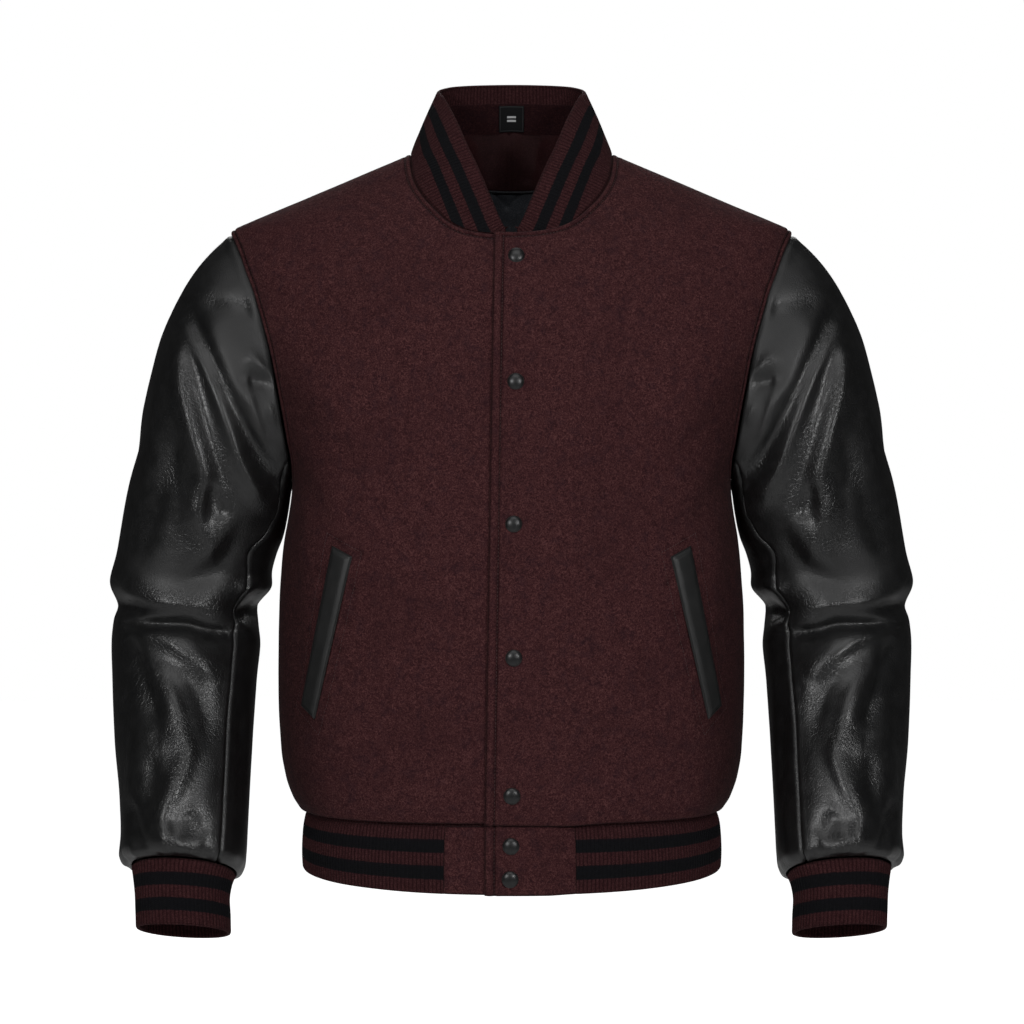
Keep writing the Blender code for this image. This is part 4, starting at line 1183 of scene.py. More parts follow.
# ------------------------------------------------------------------ finishes
def fibre_fuzz_group() -> Tree:
    """Make the shared effect of matted curly fibres: a tone from 0 to 1 and a height."""
    pad = new_tree("fibre_fuzz", "ShaderNodeTree",
                   {"Place": ("vector",), "Curls a metre": ("float", 330.0),
                    "Fine Share": ("float", 0.35)}, {"Tone": "float", "Height": "float"})
    place, scale = pad.inside["Place"], pad.inside["Curls a metre"]
    curl = pad.noise(place, scale, 2.0, 0.65, 2.2)
    fine = pad.noise(place, pad.times(scale, 2.6), 2.0, 0.7, 1.0)
    mixed = pad.plus(pad.times(curl, pad.minus(1.0, pad.inside["Fine Share"])),
                     pad.times(fine, pad.inside["Fine Share"]))
    pad.end("Tone", pad.ramp(mixed, 0.36, 0.64))
    pad.end("Height", mixed)
    return pad.tree


def stripe_band_group() -> Tree:
    """Make the shared effect of a knitted stripe across a rib: 1 on it and 0 off it."""
    pad = new_tree("stripe_band", "ShaderNodeTree",
                   {"Run": ("float",), "From": ("float", 0.01), "To": ("float", 0.02),
                    "Softness": ("float", 0.5 * MM)}, {"Mask": "float"})
    half = pad.inside["Softness"]
    edges = [pad.add("ShaderNodeMapRange",
                     {"Value": pad.inside["Run"], "From Min": pad.minus(pad.inside[edge], half),
                      "From Max": pad.plus(pad.inside[edge], half)}).outputs[0]
             for edge in ("From", "To")]
    pad.end("Mask", pad.minus(*edges))
    return pad.tree


def fine_weave_group() -> Tree:
    """Make the shared effect of a plain weave on flat places in metres: a height."""
    pad = new_tree("fine_weave", "ShaderNodeTree",
                   {"Place": ("vector",), "Threads a metre": ("float", 1400.0),
                    "Slant": ("float", 0.0)}, {"Height": "float"})
    split = pad.split(pad.inside["Place"])
    turn = pad.times(pad.inside["Threads a metre"], math.pi)
    across = pad.plus(split.outputs[0], pad.times(split.outputs[1], pad.inside["Slant"]))
    warp = pad.math("SINE", pad.times(across, turn))
    weft = pad.math("SINE", pad.times(split.outputs[1], turn))
    height = pad.times(pad.plus(pad.math("ABSOLUTE", warp), pad.math("ABSOLUTE", weft)), 0.5)
    pad.end("Height", height)
    return pad.tree


class Effects:
    """The shader groups that more than one finish uses."""

    def __init__(self) -> None:
        """Build each group once."""
        self.fuzz = fibre_fuzz_group()
        self.stripe = stripe_band_group()
        self.weave = fine_weave_group()


def toned(colour: Colour, share: float) -> Colour:
    """Return a colour made darker or lighter."""
    return tuple(c * share for c in colour)


def new_finish(name: str) -> NodePad:
    """Start a material.

    Args:
        name: its name.

    Returns:
        A pad on its tree, which holds the material.
    """
    material = bpy.data.materials.new(name)
    material.use_nodes = True
    pad = NodePad(material.node_tree)
    pad.material = material
    return pad


def shaded(pad: NodePad, values: dict[str, object]) -> Material:
    """Set or link the sockets of a material's shader.

    Args:
        pad: the material's pad.
        values: a socket, a number or a colour for each input.

    Returns:
        The material.
    """
    shader = pad.tree.nodes["Principled BSDF"]
    for key, value in values.items():
        if isinstance(value, Socket):
            pad.tree.links.new(value, shader.inputs[key])
        elif isinstance(value, tuple) and len(value) == 3:
            shader.inputs[key].default_value = (*value, 1.0)
        else:
            shader.inputs[key].default_value = value
    return pad.material


@dataclass(frozen=True)
class WoolFinish:
    """Heathered melton wool: curls of matted fibre in three tones with a soft nap."""

    name: str
    ground: Colour
    fleck: Colour
    dark: Colour
    blue: Colour = (0.020, 0.0095, 0.0135)
    curls: float = 330.0
    roughness: float = 0.92
    bump: float = 0.55

    def make(self, effects: Effects) -> Material:
        """Build the material."""
        pad = new_finish(self.name)
        place = pad.place()
        fuzz = pad.group(effects.fuzz, {"Place": place, "Curls a metre": self.curls})
        body = pad.mix(pad.ramp(fuzz["Tone"], 0.0, 0.62), self.dark, self.ground)
        body = pad.mix(pad.ramp(fuzz["Tone"], 0.55, 1.0), body, self.fleck)
        drift = pad.ramp(pad.noise(place, 95.0, 2.0, 0.6), 0.48, 0.70)
        body = pad.mix(pad.times(drift, 0.35), body, self.blue)
        wide = pad.ramp(pad.noise(place, 16.0, 3.0, 0.6), 0.42, 0.72)
        body = pad.mix(pad.times(wide, 0.22), body, self.dark)
        # painted shade: darker where the seam mark is high, in seam and stitch grooves and down the
        # sides under the arms
        body = pad.mix(pad.times(pad.kept("seam"), 0.80), body, toned(self.dark, 0.3))
        rough = pad.plus(pad.times(fuzz["Tone"], 0.06), self.roughness - 0.03)
        bump = pad.bump(self.bump, 0.9 * MM, fuzz["Height"])
        return shaded(pad, {"Base Color": body, "Roughness": rough, "Normal": bump,
                            "Sheen Weight": 0.02, "Sheen Roughness": 0.5,
                            "Specular IOR Level": 0.04})


@dataclass(frozen=True)
class LeatherFinish:
    """Grained smooth leather with fine cracks where it creases."""

    name: str
    ground: Colour
    wear_and_painted_shade: Colour
    grain: float = 520.0
    roughness: float = 0.34
    slack_dulls: float = 0.28
    bump: float = 0.33

    def make(self) -> Material:
        """Build the material."""
        pad = new_finish(self.name)
        place = pad.place()
        drift = pad.add("ShaderNodeTexNoise", {"Vector": place, "Scale": 140.0, "Detail": 2.0})
        sway = pad.scaled(drift.outputs[1], 0.004)
        bent = pad.add("ShaderNodeVectorMath", {0: place, 1: sway}, operation="ADD").outputs[0]
        pebble = pad.ramp(pad.cells(bent, self.grain), 0.0, 0.22)
        crease = pad.ramp(pad.cells(bent, self.grain * 0.5), 0.0, 0.12)
        soft = pad.noise(place, 80.0, 4.0, 0.62)
        patch = pad.ramp(pad.noise(place, 34.0, 2.0, 0.5), 0.36, 0.62)
        flex = pad.kept("flex")
        crack = pad.times(pad.times(pad.minus(crease, 1.0), pad.plus(flex, 0.22)),
                          pad.plus(pad.times(patch, 0.8), 0.2))
        height = pad.plus(pad.times(pebble, 0.24), crack)
        height = pad.plus(height, pad.times(soft, 0.35))
        bump = pad.bump(self.bump, 0.6 * MM, height)
        tone = pad.mix(pad.ramp(soft, 0.35, 0.75), self.ground, self.wear_and_painted_shade)
        rough = pad.plus(self.roughness - 0.07, pad.times(soft, 0.14))
        rough = pad.minus(rough, pad.times(flex, 0.04))
        rough = pad.plus(rough, pad.times(pad.kept("slack"), self.slack_dulls))
        return shaded(pad, {"Base Color": tone, "Roughness": rough, "Normal": bump,
                            "Specular IOR Level": 0.6})


@dataclass(frozen=True)
class RibFinish:
    """Knitted rib with two stripes across it, run from its free edge in metres."""

    name: str
    ground: Colour
    fleck: Colour
    stripe: Colour
    bands: tuple[tuple[float, float], ...]
    bump: float = 0.45

    def make(self, effects: Effects) -> Material:
        """Build the material."""
        pad = new_finish(self.name)
        place = pad.place()
        split = pad.split(pad.flat_place())
        along, run = split.outputs[0], split.outputs[1]
        wander = pad.times(pad.minus(pad.noise(place, 260.0, 1.0), 0.5), 1.1 * MM)
        run_here = pad.plus(run, wander)
        mask: Socket | None = None
        for first, last in self.bands:
            band = pad.group(effects.stripe, {"Run": run_here, "From": first, "To": last,
                                              "Softness": 0.45 * MM})[0]
            mask = band if mask is None else pad.plus(mask, band)
        mask = pad.times(mask, pad.kept("shown"))
        fuzz = pad.group(effects.fuzz, {"Place": place, "Curls a metre": 520.0})
        light = pad.ramp(fuzz["Tone"], 0.25, 1.0)
        ground = pad.mix(light, self.ground, self.fleck)
        phase = pad.math("FRACT", pad.math("DIVIDE", along, RIB_PITCH))
        groove = pad.math("POWER", pad.math("ABSOLUTE", pad.minus(pad.times(phase, 2.0), 1.0)), 3.0)
        # painted shade: the grooves between the raised ribs are darkened
        ground = pad.mix(pad.times(groove, 0.8), ground, toned(self.ground, 0.35))
        band_tone = pad.mix(pad.times(light, 0.35), self.stripe, toned(self.stripe, 2.2))
        colour = pad.mix(mask, ground, band_tone)
        lean = pad.times(pad.math("ABSOLUTE", pad.minus(phase, 0.5)), 5.0)
        loops = pad.math("SINE", pad.plus(pad.times(run, 2 * math.pi / (1.7 * MM)), lean))
        height = pad.plus(pad.times(loops, 0.35), fuzz["Height"])
        bump = pad.bump(self.bump, 0.5 * MM, height)
        rough = pad.plus(0.86, pad.times(light, 0.08))
        return shaded(pad, {"Base Color": colour, "Roughness": rough, "Normal": bump,
                            "Sheen Weight": 0.015, "Sheen Roughness": 0.5,
                            "Specular IOR Level": 0.04})


@dataclass(frozen=True)
class WovenFinish:
    """Woven lining, tape or label: fine threads with a soft gloss."""

    name: str
    ground: Colour
    fleck: Colour
    threads: float = 1400.0
    slant: float = 0.0
    roughness: float = 0.62
    gloss: float = 0.14
    bump: float = 0.15
    crush: float = 34.0

    def make(self, effects: Effects) -> Material:
        """Build the material."""
        pad = new_finish(self.name)
        flat = pad.flat_place()
        place = pad.place()
        weave = pad.group(effects.weave, {"Place": flat, "Threads a metre": self.threads,
                                          "Slant": self.slant})
        soft = pad.noise(place, self.crush, 3.0, 0.55)
        slub = pad.noise(place, 900.0, 1.0)
        colour = pad.mix(pad.ramp(slub, 0.40, 0.75), self.ground, self.fleck)
        colour = pad.mix(pad.times(pad.ramp(soft, 0.45, 0.7), 0.35), colour,
                         toned(self.ground, 0.5))
        height = pad.plus(pad.times(weave[0], 0.5), pad.times(soft, 3.0))
        bump = pad.bump(self.bump, 0.6 * MM, height)
        rough = pad.plus(self.roughness - 0.06, pad.times(soft, 0.12))
        return shaded(pad, {"Base Color": colour, "Roughness": rough, "Normal": bump,
                            "Specular IOR Level": self.gloss})


@dataclass(frozen=True)
class EnamelFinish:
    """Black enamel over metal, worn a little at its rim."""

    name: str
    ground: Colour
    wear_and_painted_shade: Colour
    roughness: float = 0.33

    def make(self) -> Material:
        """Build the material."""
        pad = new_finish(self.name)
        place = pad.place()
        edge = pad.kept("rim")
        fleck = pad.noise(place, 900.0, 3.0, 0.7)
        wear_and_painted_shade = pad.times(pad.ramp(pad.plus(pad.times(edge, 0.5), fleck), 0.85, 1.05), 0.6)
        dust = pad.noise(place, 260.0, 3.0, 0.6)
        rough = pad.plus(self.roughness - 0.05, pad.times(dust, 0.14))
        bump = pad.bump(0.05, 0.1 * MM, fleck)
        return shaded(pad, {"Base Color": pad.mix(wear_and_painted_shade, self.ground, self.wear_and_painted_shade),
                            "Roughness": rough, "Normal": bump, "Specular IOR Level": 0.5})


@dataclass(frozen=True)
class ThreadFinish:
    """Spun sewing thread: a fine twist along each stitch."""

    name: str
    ground: Colour
    fleck: Colour

    def make(self) -> Material:
        """Build the material."""
        pad = new_finish(self.name)
        place = pad.place()
        twist = pad.add("ShaderNodeTexWave", {"Vector": place, "Scale": 900.0, "Distortion": 2.0},
                        bands_direction="DIAGONAL").outputs["Fac"]
        bump = pad.bump(0.2, 0.1 * MM, twist)
        return shaded(pad, {"Base Color": pad.mix(twist, self.ground, self.fleck),
                            "Roughness": 0.62, "Normal": bump, "Sheen Weight": 0.1})


# ------------------------------------------------------------------ where the cloth folds
# each row: name, line of (across, height), width, height, lean, fade
FRONT_FOLDS = drawn_folds(
    Facing.FRONT,
    ("blouse_sweep", ((0.170, -0.590), (0.111, -0.545), (0.058, -0.515)), 0.022, -0.0042, 0.3),
    ("blouse_roll", ((0.178, -0.560), (0.120, -0.515), (0.070, -0.478)), 0.024, 0.0036, -0.2),
    ("side_drop", ((0.196, -0.345), (0.198, -0.420), (0.190, -0.520)), 0.014, -0.0022, 0.2),
    ("side_swell", ((0.182, -0.330), (0.186, -0.350), (0.190, -0.400)), 0.013, 0.0014),
    ("armhole_pull", ((0.204, -0.235), (0.176, -0.262), (0.132, -0.300)), 0.017, -0.0034, 0.25),
    ("armhole_swell", ((0.205, -0.200), (0.180, -0.222), (0.140, -0.245)), 0.016, 0.0016, -0.2),
    ("underarm_fold", ((0.205, -0.290), (0.186, -0.315), (0.160, -0.350)), 0.013, -0.0030, 0.2),
    ("chest_hang", ((0.150, -0.180), (0.148, -0.300), (0.140, -0.420)), 0.030, 0.0012),
    ("pocket_drag", ((0.120, -0.400), (0.128, -0.470), (0.118, -0.560)), 0.020, -0.0012, 0.2),
    ("placket_ease", ((0.030, -0.180), (0.036, -0.320), (0.032, -0.540)), 0.016, -0.0009),
    ("hem_swell", ((0.050, -0.590), (0.100, -0.583), (0.150, -0.588)), 0.014, 0.0012),
)
BACK_FOLDS = drawn_folds(
    Facing.BACK,
    ("shoulder_drag", ((0.205, -0.130), (0.150, -0.155), (0.080, -0.190)), 0.020, -0.0022, 0.25),
    ("shoulder_roll", ((0.200, -0.170), (0.150, -0.205), (0.095, -0.250)), 0.020, 0.0018, -0.2),
    ("arm_fold", ((0.212, -0.225), (0.178, -0.290), (0.150, -0.370)), 0.017, -0.0028, 0.3),
    ("arm_roll", ((0.190, -0.225), (0.158, -0.300), (0.128, -0.390)), 0.018, 0.0018, -0.25),
    ("side_hang", ((0.190, -0.370), (0.180, -0.450), (0.168, -0.545)), 0.017, -0.0020, 0.2),
    ("middle_hang", ((0.060, -0.320), (0.070, -0.430), (0.062, -0.545)), 0.024, -0.0015, -0.2),
    ("low_sweep", ((0.170, -0.592), (0.110, -0.556), (0.045, -0.536)), 0.020, -0.0020, 0.3),
    ("low_roll", ((0.150, -0.556), (0.090, -0.520), (0.025, -0.508)), 0.022, 0.0016, -0.2),
)
SLEEVE_FOLDS = (
    *drawn_folds(
        Facing.FRONT,
        ("cap_band", ((0.290, -0.139), (0.258, -0.143), (0.226, -0.150)), 0.012, -0.0042, 0.2, 0.3),
        ("long_trough", ((0.2985, -0.1455), (0.263, -0.2193), (0.2305, -0.2836), (0.2196, -0.3061)),
         0.0130, -0.0100, 0.35, 0.18),
        ("bright_ridge", ((0.3040, -0.1594), (0.2762, -0.2078), (0.2552, -0.2589),
         (0.2433, -0.2951), (0.2250, -0.3342)), 0.0105, 0.0074, -0.3, 0.15),
        ("second_ridge", ((0.3036, -0.1685), (0.2994, -0.2137), (0.2883, -0.2649),
         (0.2793, -0.3009), (0.2853, -0.3342), (0.2762, -0.3675)), 0.0100, 0.0068, 0.25, 0.18),
        ("mid_trough", ((0.2896, -0.2157), (0.2731, -0.2667), (0.2620, -0.3029), (0.2560, -0.3250)),
         0.0075, -0.0030, -0.2, 0.25),
        ("dimple_high", ((0.279, -0.3180), (0.2709, -0.3224), (0.2630, -0.3420)), 0.0085, -0.0052,
         0.2, 0.2),
        ("dimple_side", ((0.300, -0.262), (0.308, -0.290), (0.304, -0.318)), 0.0100, -0.0026, 0.3),
        ("outer_drape", ((0.322, -0.200), (0.330, -0.265), (0.338, -0.335)), 0.0140, 0.0026, -0.3),
        ("outer_hollow", ((0.318, -0.290), (0.330, -0.345), (0.350, -0.385)), 0.0130, -0.0030, 0.3),
        ("armpit_dark", ((0.2401, -0.2158), (0.2268, -0.2165), (0.2100, -0.2191)), 0.0070, -0.0050,
         0.0, 0.2),
        ("armpit_ridge", ((0.244, -0.1893), (0.2322, -0.1993), (0.216, -0.2110)), 0.0075, 0.0034),
        ("under_ridge", ((0.2419, -0.222), (0.2366, -0.2375), (0.2267, -0.2745)), 0.0070, 0.0034,
         0.2),
        ("armpit_bead", ((0.2215, -0.236), (0.2171, -0.2464), (0.2140, -0.2560)), 0.0055, 0.0024),
        ("mid_drape", ((0.258, -0.330), (0.272, -0.362), (0.300, -0.386)), 0.0110, 0.0030, 0.2),
        ("mid_hollow", ((0.250, -0.352), (0.268, -0.384), (0.300, -0.398)), 0.0085, -0.0030, -0.2),
        ("elbow_ridge", ((0.3588, -0.4046), (0.3299, -0.4160), (0.2766, -0.4235),
         (0.2533, -0.4303)), 0.0110, 0.0042, -0.35, 0.18),
        ("elbow_crease", ((0.348, -0.4365), (0.3334, -0.4366), (0.3015, -0.4362), (0.2765, -0.4420),
         (0.2529, -0.4455)), 0.0066, -0.0090, 0.3, 0.20),
        ("elbow_split", ((0.366, -0.424), (0.350, -0.423), (0.334, -0.426)), 0.0060, -0.0036),
        ("grainy_ridge", ((0.3484, -0.4430), (0.3226, -0.4490), (0.2985, -0.4632),
         (0.2701, -0.4886)), 0.0105, 0.0046, -0.25, 0.22),
        ("outer_trough", ((0.3533, -0.4498), (0.3388, -0.4797), (0.3257, -0.5081), (0.318, -0.532)),
         0.0105, -0.0052, 0.3, 0.22),
        ("fore_sweep", ((0.300, -0.474), (0.283, -0.500), (0.270, -0.545)), 0.0105, -0.0030, -0.2),
        ("bent_ridge", ((0.3198, -0.4835), (0.3025, -0.5123), (0.2956, -0.5393), (0.2906, -0.5523),
         (0.2984, -0.5828), (0.3079, -0.6041), (0.3053, -0.6211), (0.2868, -0.6352)), 0.0105,
         0.0046, 0.25, 0.16),
        ("fore_hollow", ((0.325, -0.553), (0.321, -0.575), (0.326, -0.600)), 0.0100, -0.0030, 0.2),
        ("dimple_fore", ((0.2867, -0.600), (0.2814, -0.613), (0.2761, -0.625)), 0.0090, -0.0030),
        ("wrist_fold", ((0.345, -0.590), (0.335, -0.615), (0.322, -0.640)), 0.0085, -0.0030, 0.2),
        ("inner_elbow", ((0.238, -0.414), (0.2445, -0.425), (0.256, -0.432)), 0.0055, -0.0034),
        ("inner_tuck", ((0.236, -0.395), (0.2445, -0.404), (0.256, -0.409)), 0.0055, 0.0030),
    ),
    *drawn_folds(
        Facing.BACK,
        ("back_yoke", ((0.305, -0.150), (0.280, -0.215), (0.242, -0.290)), 0.0140, -0.0060, 0.3,
         0.22),
        ("back_roll", ((0.318, -0.175), (0.298, -0.240), (0.262, -0.310)), 0.0125, 0.0046, -0.3,
         0.22),
        ("back_drape", ((0.335, -0.230), (0.330, -0.290), (0.300, -0.350)), 0.0120, -0.0036, 0.2),
        ("back_armpit", ((0.243, -0.215), (0.228, -0.226), (0.212, -0.232)), 0.0080, -0.0046),
        ("back_elbow", ((0.362, -0.420), (0.320, -0.412), (0.262, -0.425)), 0.0110, -0.0058, 0.3,
         0.2),
        ("back_elbow_roll", ((0.358, -0.392), (0.315, -0.384), (0.262, -0.398)), 0.0115, 0.0048,
         -0.3, 0.2),
        ("back_elbow_low", ((0.355, -0.446), (0.315, -0.440), (0.265, -0.455)), 0.0120, 0.0044, 0.2,
         0.2),
        ("back_fore", ((0.340, -0.475), (0.310, -0.530), (0.300, -0.600)), 0.0125, -0.0044, 0.3),
        ("back_fore_roll", ((0.300, -0.480), (0.285, -0.540), (0.275, -0.610)), 0.0120, 0.0036,
         -0.2),
    ),
    *drawn_folds(
        Facing.OUTER,
        ("outer_elbow", ((-0.050, -0.418), (0.010, -0.424), (0.075, -0.418)), 0.0095, -0.0042, 0.2),
        ("outer_elbow_roll", ((-0.045, -0.398), (0.015, -0.402), (0.080, -0.394)), 0.0100, 0.0012),
        ("outer_sag", ((-0.030, -0.250), (0.006, -0.300), (0.050, -0.345)), 0.0150, -0.0030, 0.3),
        ("outer_run", ((-0.055, -0.480), (-0.070, -0.540), (-0.080, -0.605)), 0.0120, -0.0030, 0.3),
        ("outer_shoulder", ((-0.010, -0.150), (0.004, -0.205), (0.000, -0.270)), 0.0150, 0.0022),
    ),
    *drawn_folds(
        Facing.INNER,
        ("inner_elbow_deep", ((-0.050, -0.425), (0.010, -0.428), (0.060, -0.420)), 0.0090, -0.0046),
        ("inner_elbow_roll", ((-0.045, -0.404), (0.012, -0.407), (0.060, -0.400)), 0.0090, 0.0036),
        ("inner_run", ((-0.045, -0.500), (-0.060, -0.550), (-0.075, -0.610)), 0.0100, -0.0026),
    ),
)
# soft slack leather that doesn't shine: the cap beside the armhole, over the elbow
SLEEVE_SLACK = drawn_folds(
    Facing.FRONT,
    ("cap_slack", ((0.262, -0.112), (0.250, -0.160), (0.236, -0.205), (0.221, -0.262)), 0.0250, 1.0,
     0.0, 0.04),
    ("elbow_slack", ((0.355, -0.375), (0.310, -0.392), (0.262, -0.398)), 0.0200, 0.7, 0.0, 0.2),
)


# ------------------------------------------------------------------ pieces
@dataclass(frozen=True)
class Cut:
    """The flat cut of a cloth piece and how it hangs."""

    width: float
    length: float
    area: float
    held: str = "hung"
    rests_on: tuple[str, ...] = ()


def settle(piece: Piece, finish: Material | None = None,
           nodes: tuple[str, ...] = ()) -> None:
    """Give a piece its finish and its place in the model.

    Args:
        piece: the piece.
        finish: its material, where its tree hasn't set it.
        nodes: the nodes of the frame that it stands for.
    """
    if finish is not None:
        piece.data.materials.clear()
        piece.data.materials.append(finish)
    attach(piece, "root")
    if nodes:
        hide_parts(*nodes)
    LOG.info("%s: %d faces", piece.name, len(piece.data.polygons))


@dataclass
class SewnLine:
    """A line of stitches or a seam on the form, with the way off the cloth at each point."""

    points: Array
    normals: Array
    cloth: str

    def flipped(self, cloth: str) -> "SewnLine":
        """Return the same line on the other side of the jacket."""
        return SewnLine(mirrored(self.points), mirrored(self.normals), cloth)


def turned_edge(gap: Array, stitch: float, sink: float = 1.3 * MM,
                puff: float = 0.45 * MM) -> Array:
    """Return the shape of cloth turned under at a seam, with a row of stitches in from it.

    Args:
        gap: the distance from the seam.
        stitch: how far in the stitches lie, or nought where there are none.
        sink: how deep the cloth dips into the seam.
        puff: how far it stands up between the seam and the stitches.

    Returns:
        The move along the normal.
    """
    move = -sink * bell(gap, 1.9 * MM)
    if stitch > 0:
        move += puff * bell(gap - 0.52 * stitch, 0.40 * stitch)
        move -= 1.3 * MM * bell(gap - stitch, 1.25 * MM)
        move += 0.35 * MM * bell(gap - stitch - 3.0 * MM, 1.8 * MM)
    else:
        move += 0.6 * puff * bell(gap - 4.5 * MM, 3.0 * MM)
    return move


@dataclass
class Body:
    """The wool fronts and back."""

    form: BodyForm
    fine: int = 8
    columns: int = 88
    step_in: int = 8
    over_edge_top: float = 0.0157
    lap_full: float = 0.045
    lap_end: float = 0.090
    armhole_stitch: float = 6.5 * MM
    neck_stitch: float = 5.4 * MM
    placket_stitch: float = 8.6 * MM
    front_folds: tuple[Fold, ...] = FRONT_FOLDS
    back_folds: tuple[Fold, ...] = BACK_FOLDS
    gathers: Gathers = Gathers(34, (0.008, 0.016), (0.014, 0.042), 1.0 * MM, 11)
    pocket_ring: Array | None = None
    lines: dict[str, SewnLine] = field(default_factory=dict)
    # painted shade mask of the last half panel: darker in seam and stitch dips and under the arms
    wear_and_painted_shade: Array | None = None

    def edge_lines(self, grid: Array, normals: Array, under_row: int,
                   neck_row: int) -> dict[str, tuple[Array, Array, Array]]:
        """Return points, normals and inward places along each edge of a half panel."""
        low, high = slice(0, neck_row + 1), slice(neck_row, None)
        flank, arm, whole = slice(0, under_row + 1), slice(under_row, None), slice(None)
        near, far = self.step_in, -1 - self.step_in
        spans = {"centre": ((low, 0), (low, near)), "neck": ((high, 0), (high, near)),
                 "side": ((flank, -1), (flank, far)), "arm": ((arm, -1), (arm, far)),
                 "hem": ((0, whole), (near, whole)), "shoulder": ((-1, whole), (far, whole))}
        return {name: (grid[edge], normals[edge], grid[inner])
                for name, (edge, inner) in spans.items()}

    def ease(self, grid: Array, seed: int) -> Array:
        """Return the slight waviness of soft wool."""
        return 0.55 * MM * soft_noise(grid, 15.0, seed) + 0.22 * MM * soft_noise(grid, 42.0, seed)

    def half_lift(self, grid: Array, normals: Array, rows: tuple[int, int],
                  back: bool, seed: int, stitched_centre: bool) -> Array:
        """Return how far every point of a half panel moves off the form.

        Args:
            grid: the panel's points.
            normals: their normals.
            rows: the row at the underarm and the row at the neck.
            back: whether it's the back.
            seed: which waviness it has.
            stitched_centre: whether its centre edge is turned and stitched.

        Returns:
            The move along the normal.
        """
        edges = self.edge_lines(grid, normals, *rows)
        gap = {key: line_gap(grid, value[0])[0] for key, value in edges.items()}
        calm = np.minimum.reduce([smoothstep(0.0, 0.020, gap[key])
                                  for key in ("neck", "arm", "shoulder", "hem")])
        if stitched_centre:
            calm = calm * smoothstep(0.0, 0.012, gap["centre"])
        move = calm * self.ease(grid, seed)
        folds = self.back_folds if back else self.front_folds
        calm_edge = np.minimum(smoothstep(0.0, 0.014, gap["arm"]), smoothstep(0, 0.012, gap["hem"]))
        move += folds_lift(folds, grid, normals) * calm_edge
        edge = turned_edge(gap["arm"], self.armhole_stitch)
        for key, sink in (("shoulder", 0.8 * MM), ("side", 0.8 * MM), ("hem", 1.2 * MM)):
            edge += turned_edge(gap[key], 0.0, sink)
        near_shoulder = 0.25 + 0.75 * smoothstep(0.0, 0.04, gap["shoulder"])
        edge += near_shoulder * turned_edge(gap["neck"], self.neck_stitch, 1.2 * MM, 1.3 * MM)
        if stitched_centre:
            edge += turned_edge(gap["centre"], self.placket_stitch, 1.2 * MM, 0.75 * MM)
        if not back and self.pocket_ring is not None:
            ring = line_gap(grid, self.pocket_ring)[0]
            edge += -0.6 * MM * bell(ring, 1.1 * MM) + 0.5 * MM * bell(ring - 3.6 * MM, 2.2 * MM)
        # painted shade: the wool's colour is darkened in the dips at its edges and stitch rows, and
        # down the sides under the arms where the sleeves shade it
        underarm_shade = (smoothstep(0.150, 0.207, np.abs(grid[..., 0]))
                     * smoothstep(-0.150, -0.270, grid[..., 2]))
        self.wear_and_painted_shade = np.clip(-edge / (0.85 * MM), 0.52 * underarm_shade, 1)
        move += edge
        around = np.arctan2(grid[..., 0], grid[..., 1] * (1 if back else -1)) / (2 * math.pi)
        move += self.gathers.lift(around + (0.5 if back else 0.0), gap["hem"]) * smoothstep(
            0.0, 0.006, gap["hem"]) * smoothstep(0.018, 0.06, np.abs(grid[..., 0]))
        return move

    def sew_lines(self, grid: Array, normals: Array, rows: tuple[int, int],
                  cloth: str, key: str) -> None:
        """Keep the lines where a half panel is stitched."""
        edges = self.edge_lines(grid, normals, *rows)
        for name, amount in (("arm", self.armhole_stitch), ("neck", self.neck_stitch)):
            points, way, inner = edges[name]
            self.lines[key + name] = SewnLine(inset(points, way, inner, amount), way, cloth)

    def build_front(self, side: str, over: bool) -> Piece:
        """Make one front.

        Args:
            side: left or right.
            over: whether it's the one that laps over.

        Returns:
            The piece.
        """
        top, hem = (self.over_edge_top, OVER_EDGE) if over else (UNDER_EDGE, UNDER_EDGE)
        angle, z, under_row, neck_row = self.form.half_panel(False, self.fine, self.columns,
                                                             top, hem)
        grid, normals = self.form.point(angle, z), self.form.normal(angle, z)
        if over:
            lap = LAP_LIFT * (1 - smoothstep(self.lap_full, self.lap_end, grid[..., 0]))
            grid = grid + normals * lap[..., None]
        rows = (under_row, neck_row)
        move = self.half_lift(grid, normals, rows, False, 3 if over else 5, over)
        name = "front_" + side
        self.sew_lines(grid, normals, rows, name, name + "_")
        if over:
            points, way, inner = self.edge_lines(grid, normals, *rows)["centre"]
            self.lines["placket"] = SewnLine(inset(points, way, inner, self.placket_stitch),
                                             way, name)
        else:
            grid, normals = mirrored(grid), mirrored(normals)
            for key in (name + "_arm", name + "_neck"):
                self.lines[key] = self.lines[key].flipped(name)
        cloth = Cloth.from_grid(grid, normals, sheet=grid[..., [0, 2]])
        turn = np.array([1 if over else -1, 1, 1])
        inner_move = np.minimum(folds_lift(self.front_folds, grid * turn, normals * turn), move)
        piece = cloth.wall(name + "_wool", WOOL_WALL, move, inner_move)
        # the painted shade mask goes on the wall as its seam mark
        mark(piece, "seam", self.wear_and_painted_shade)
        return piece

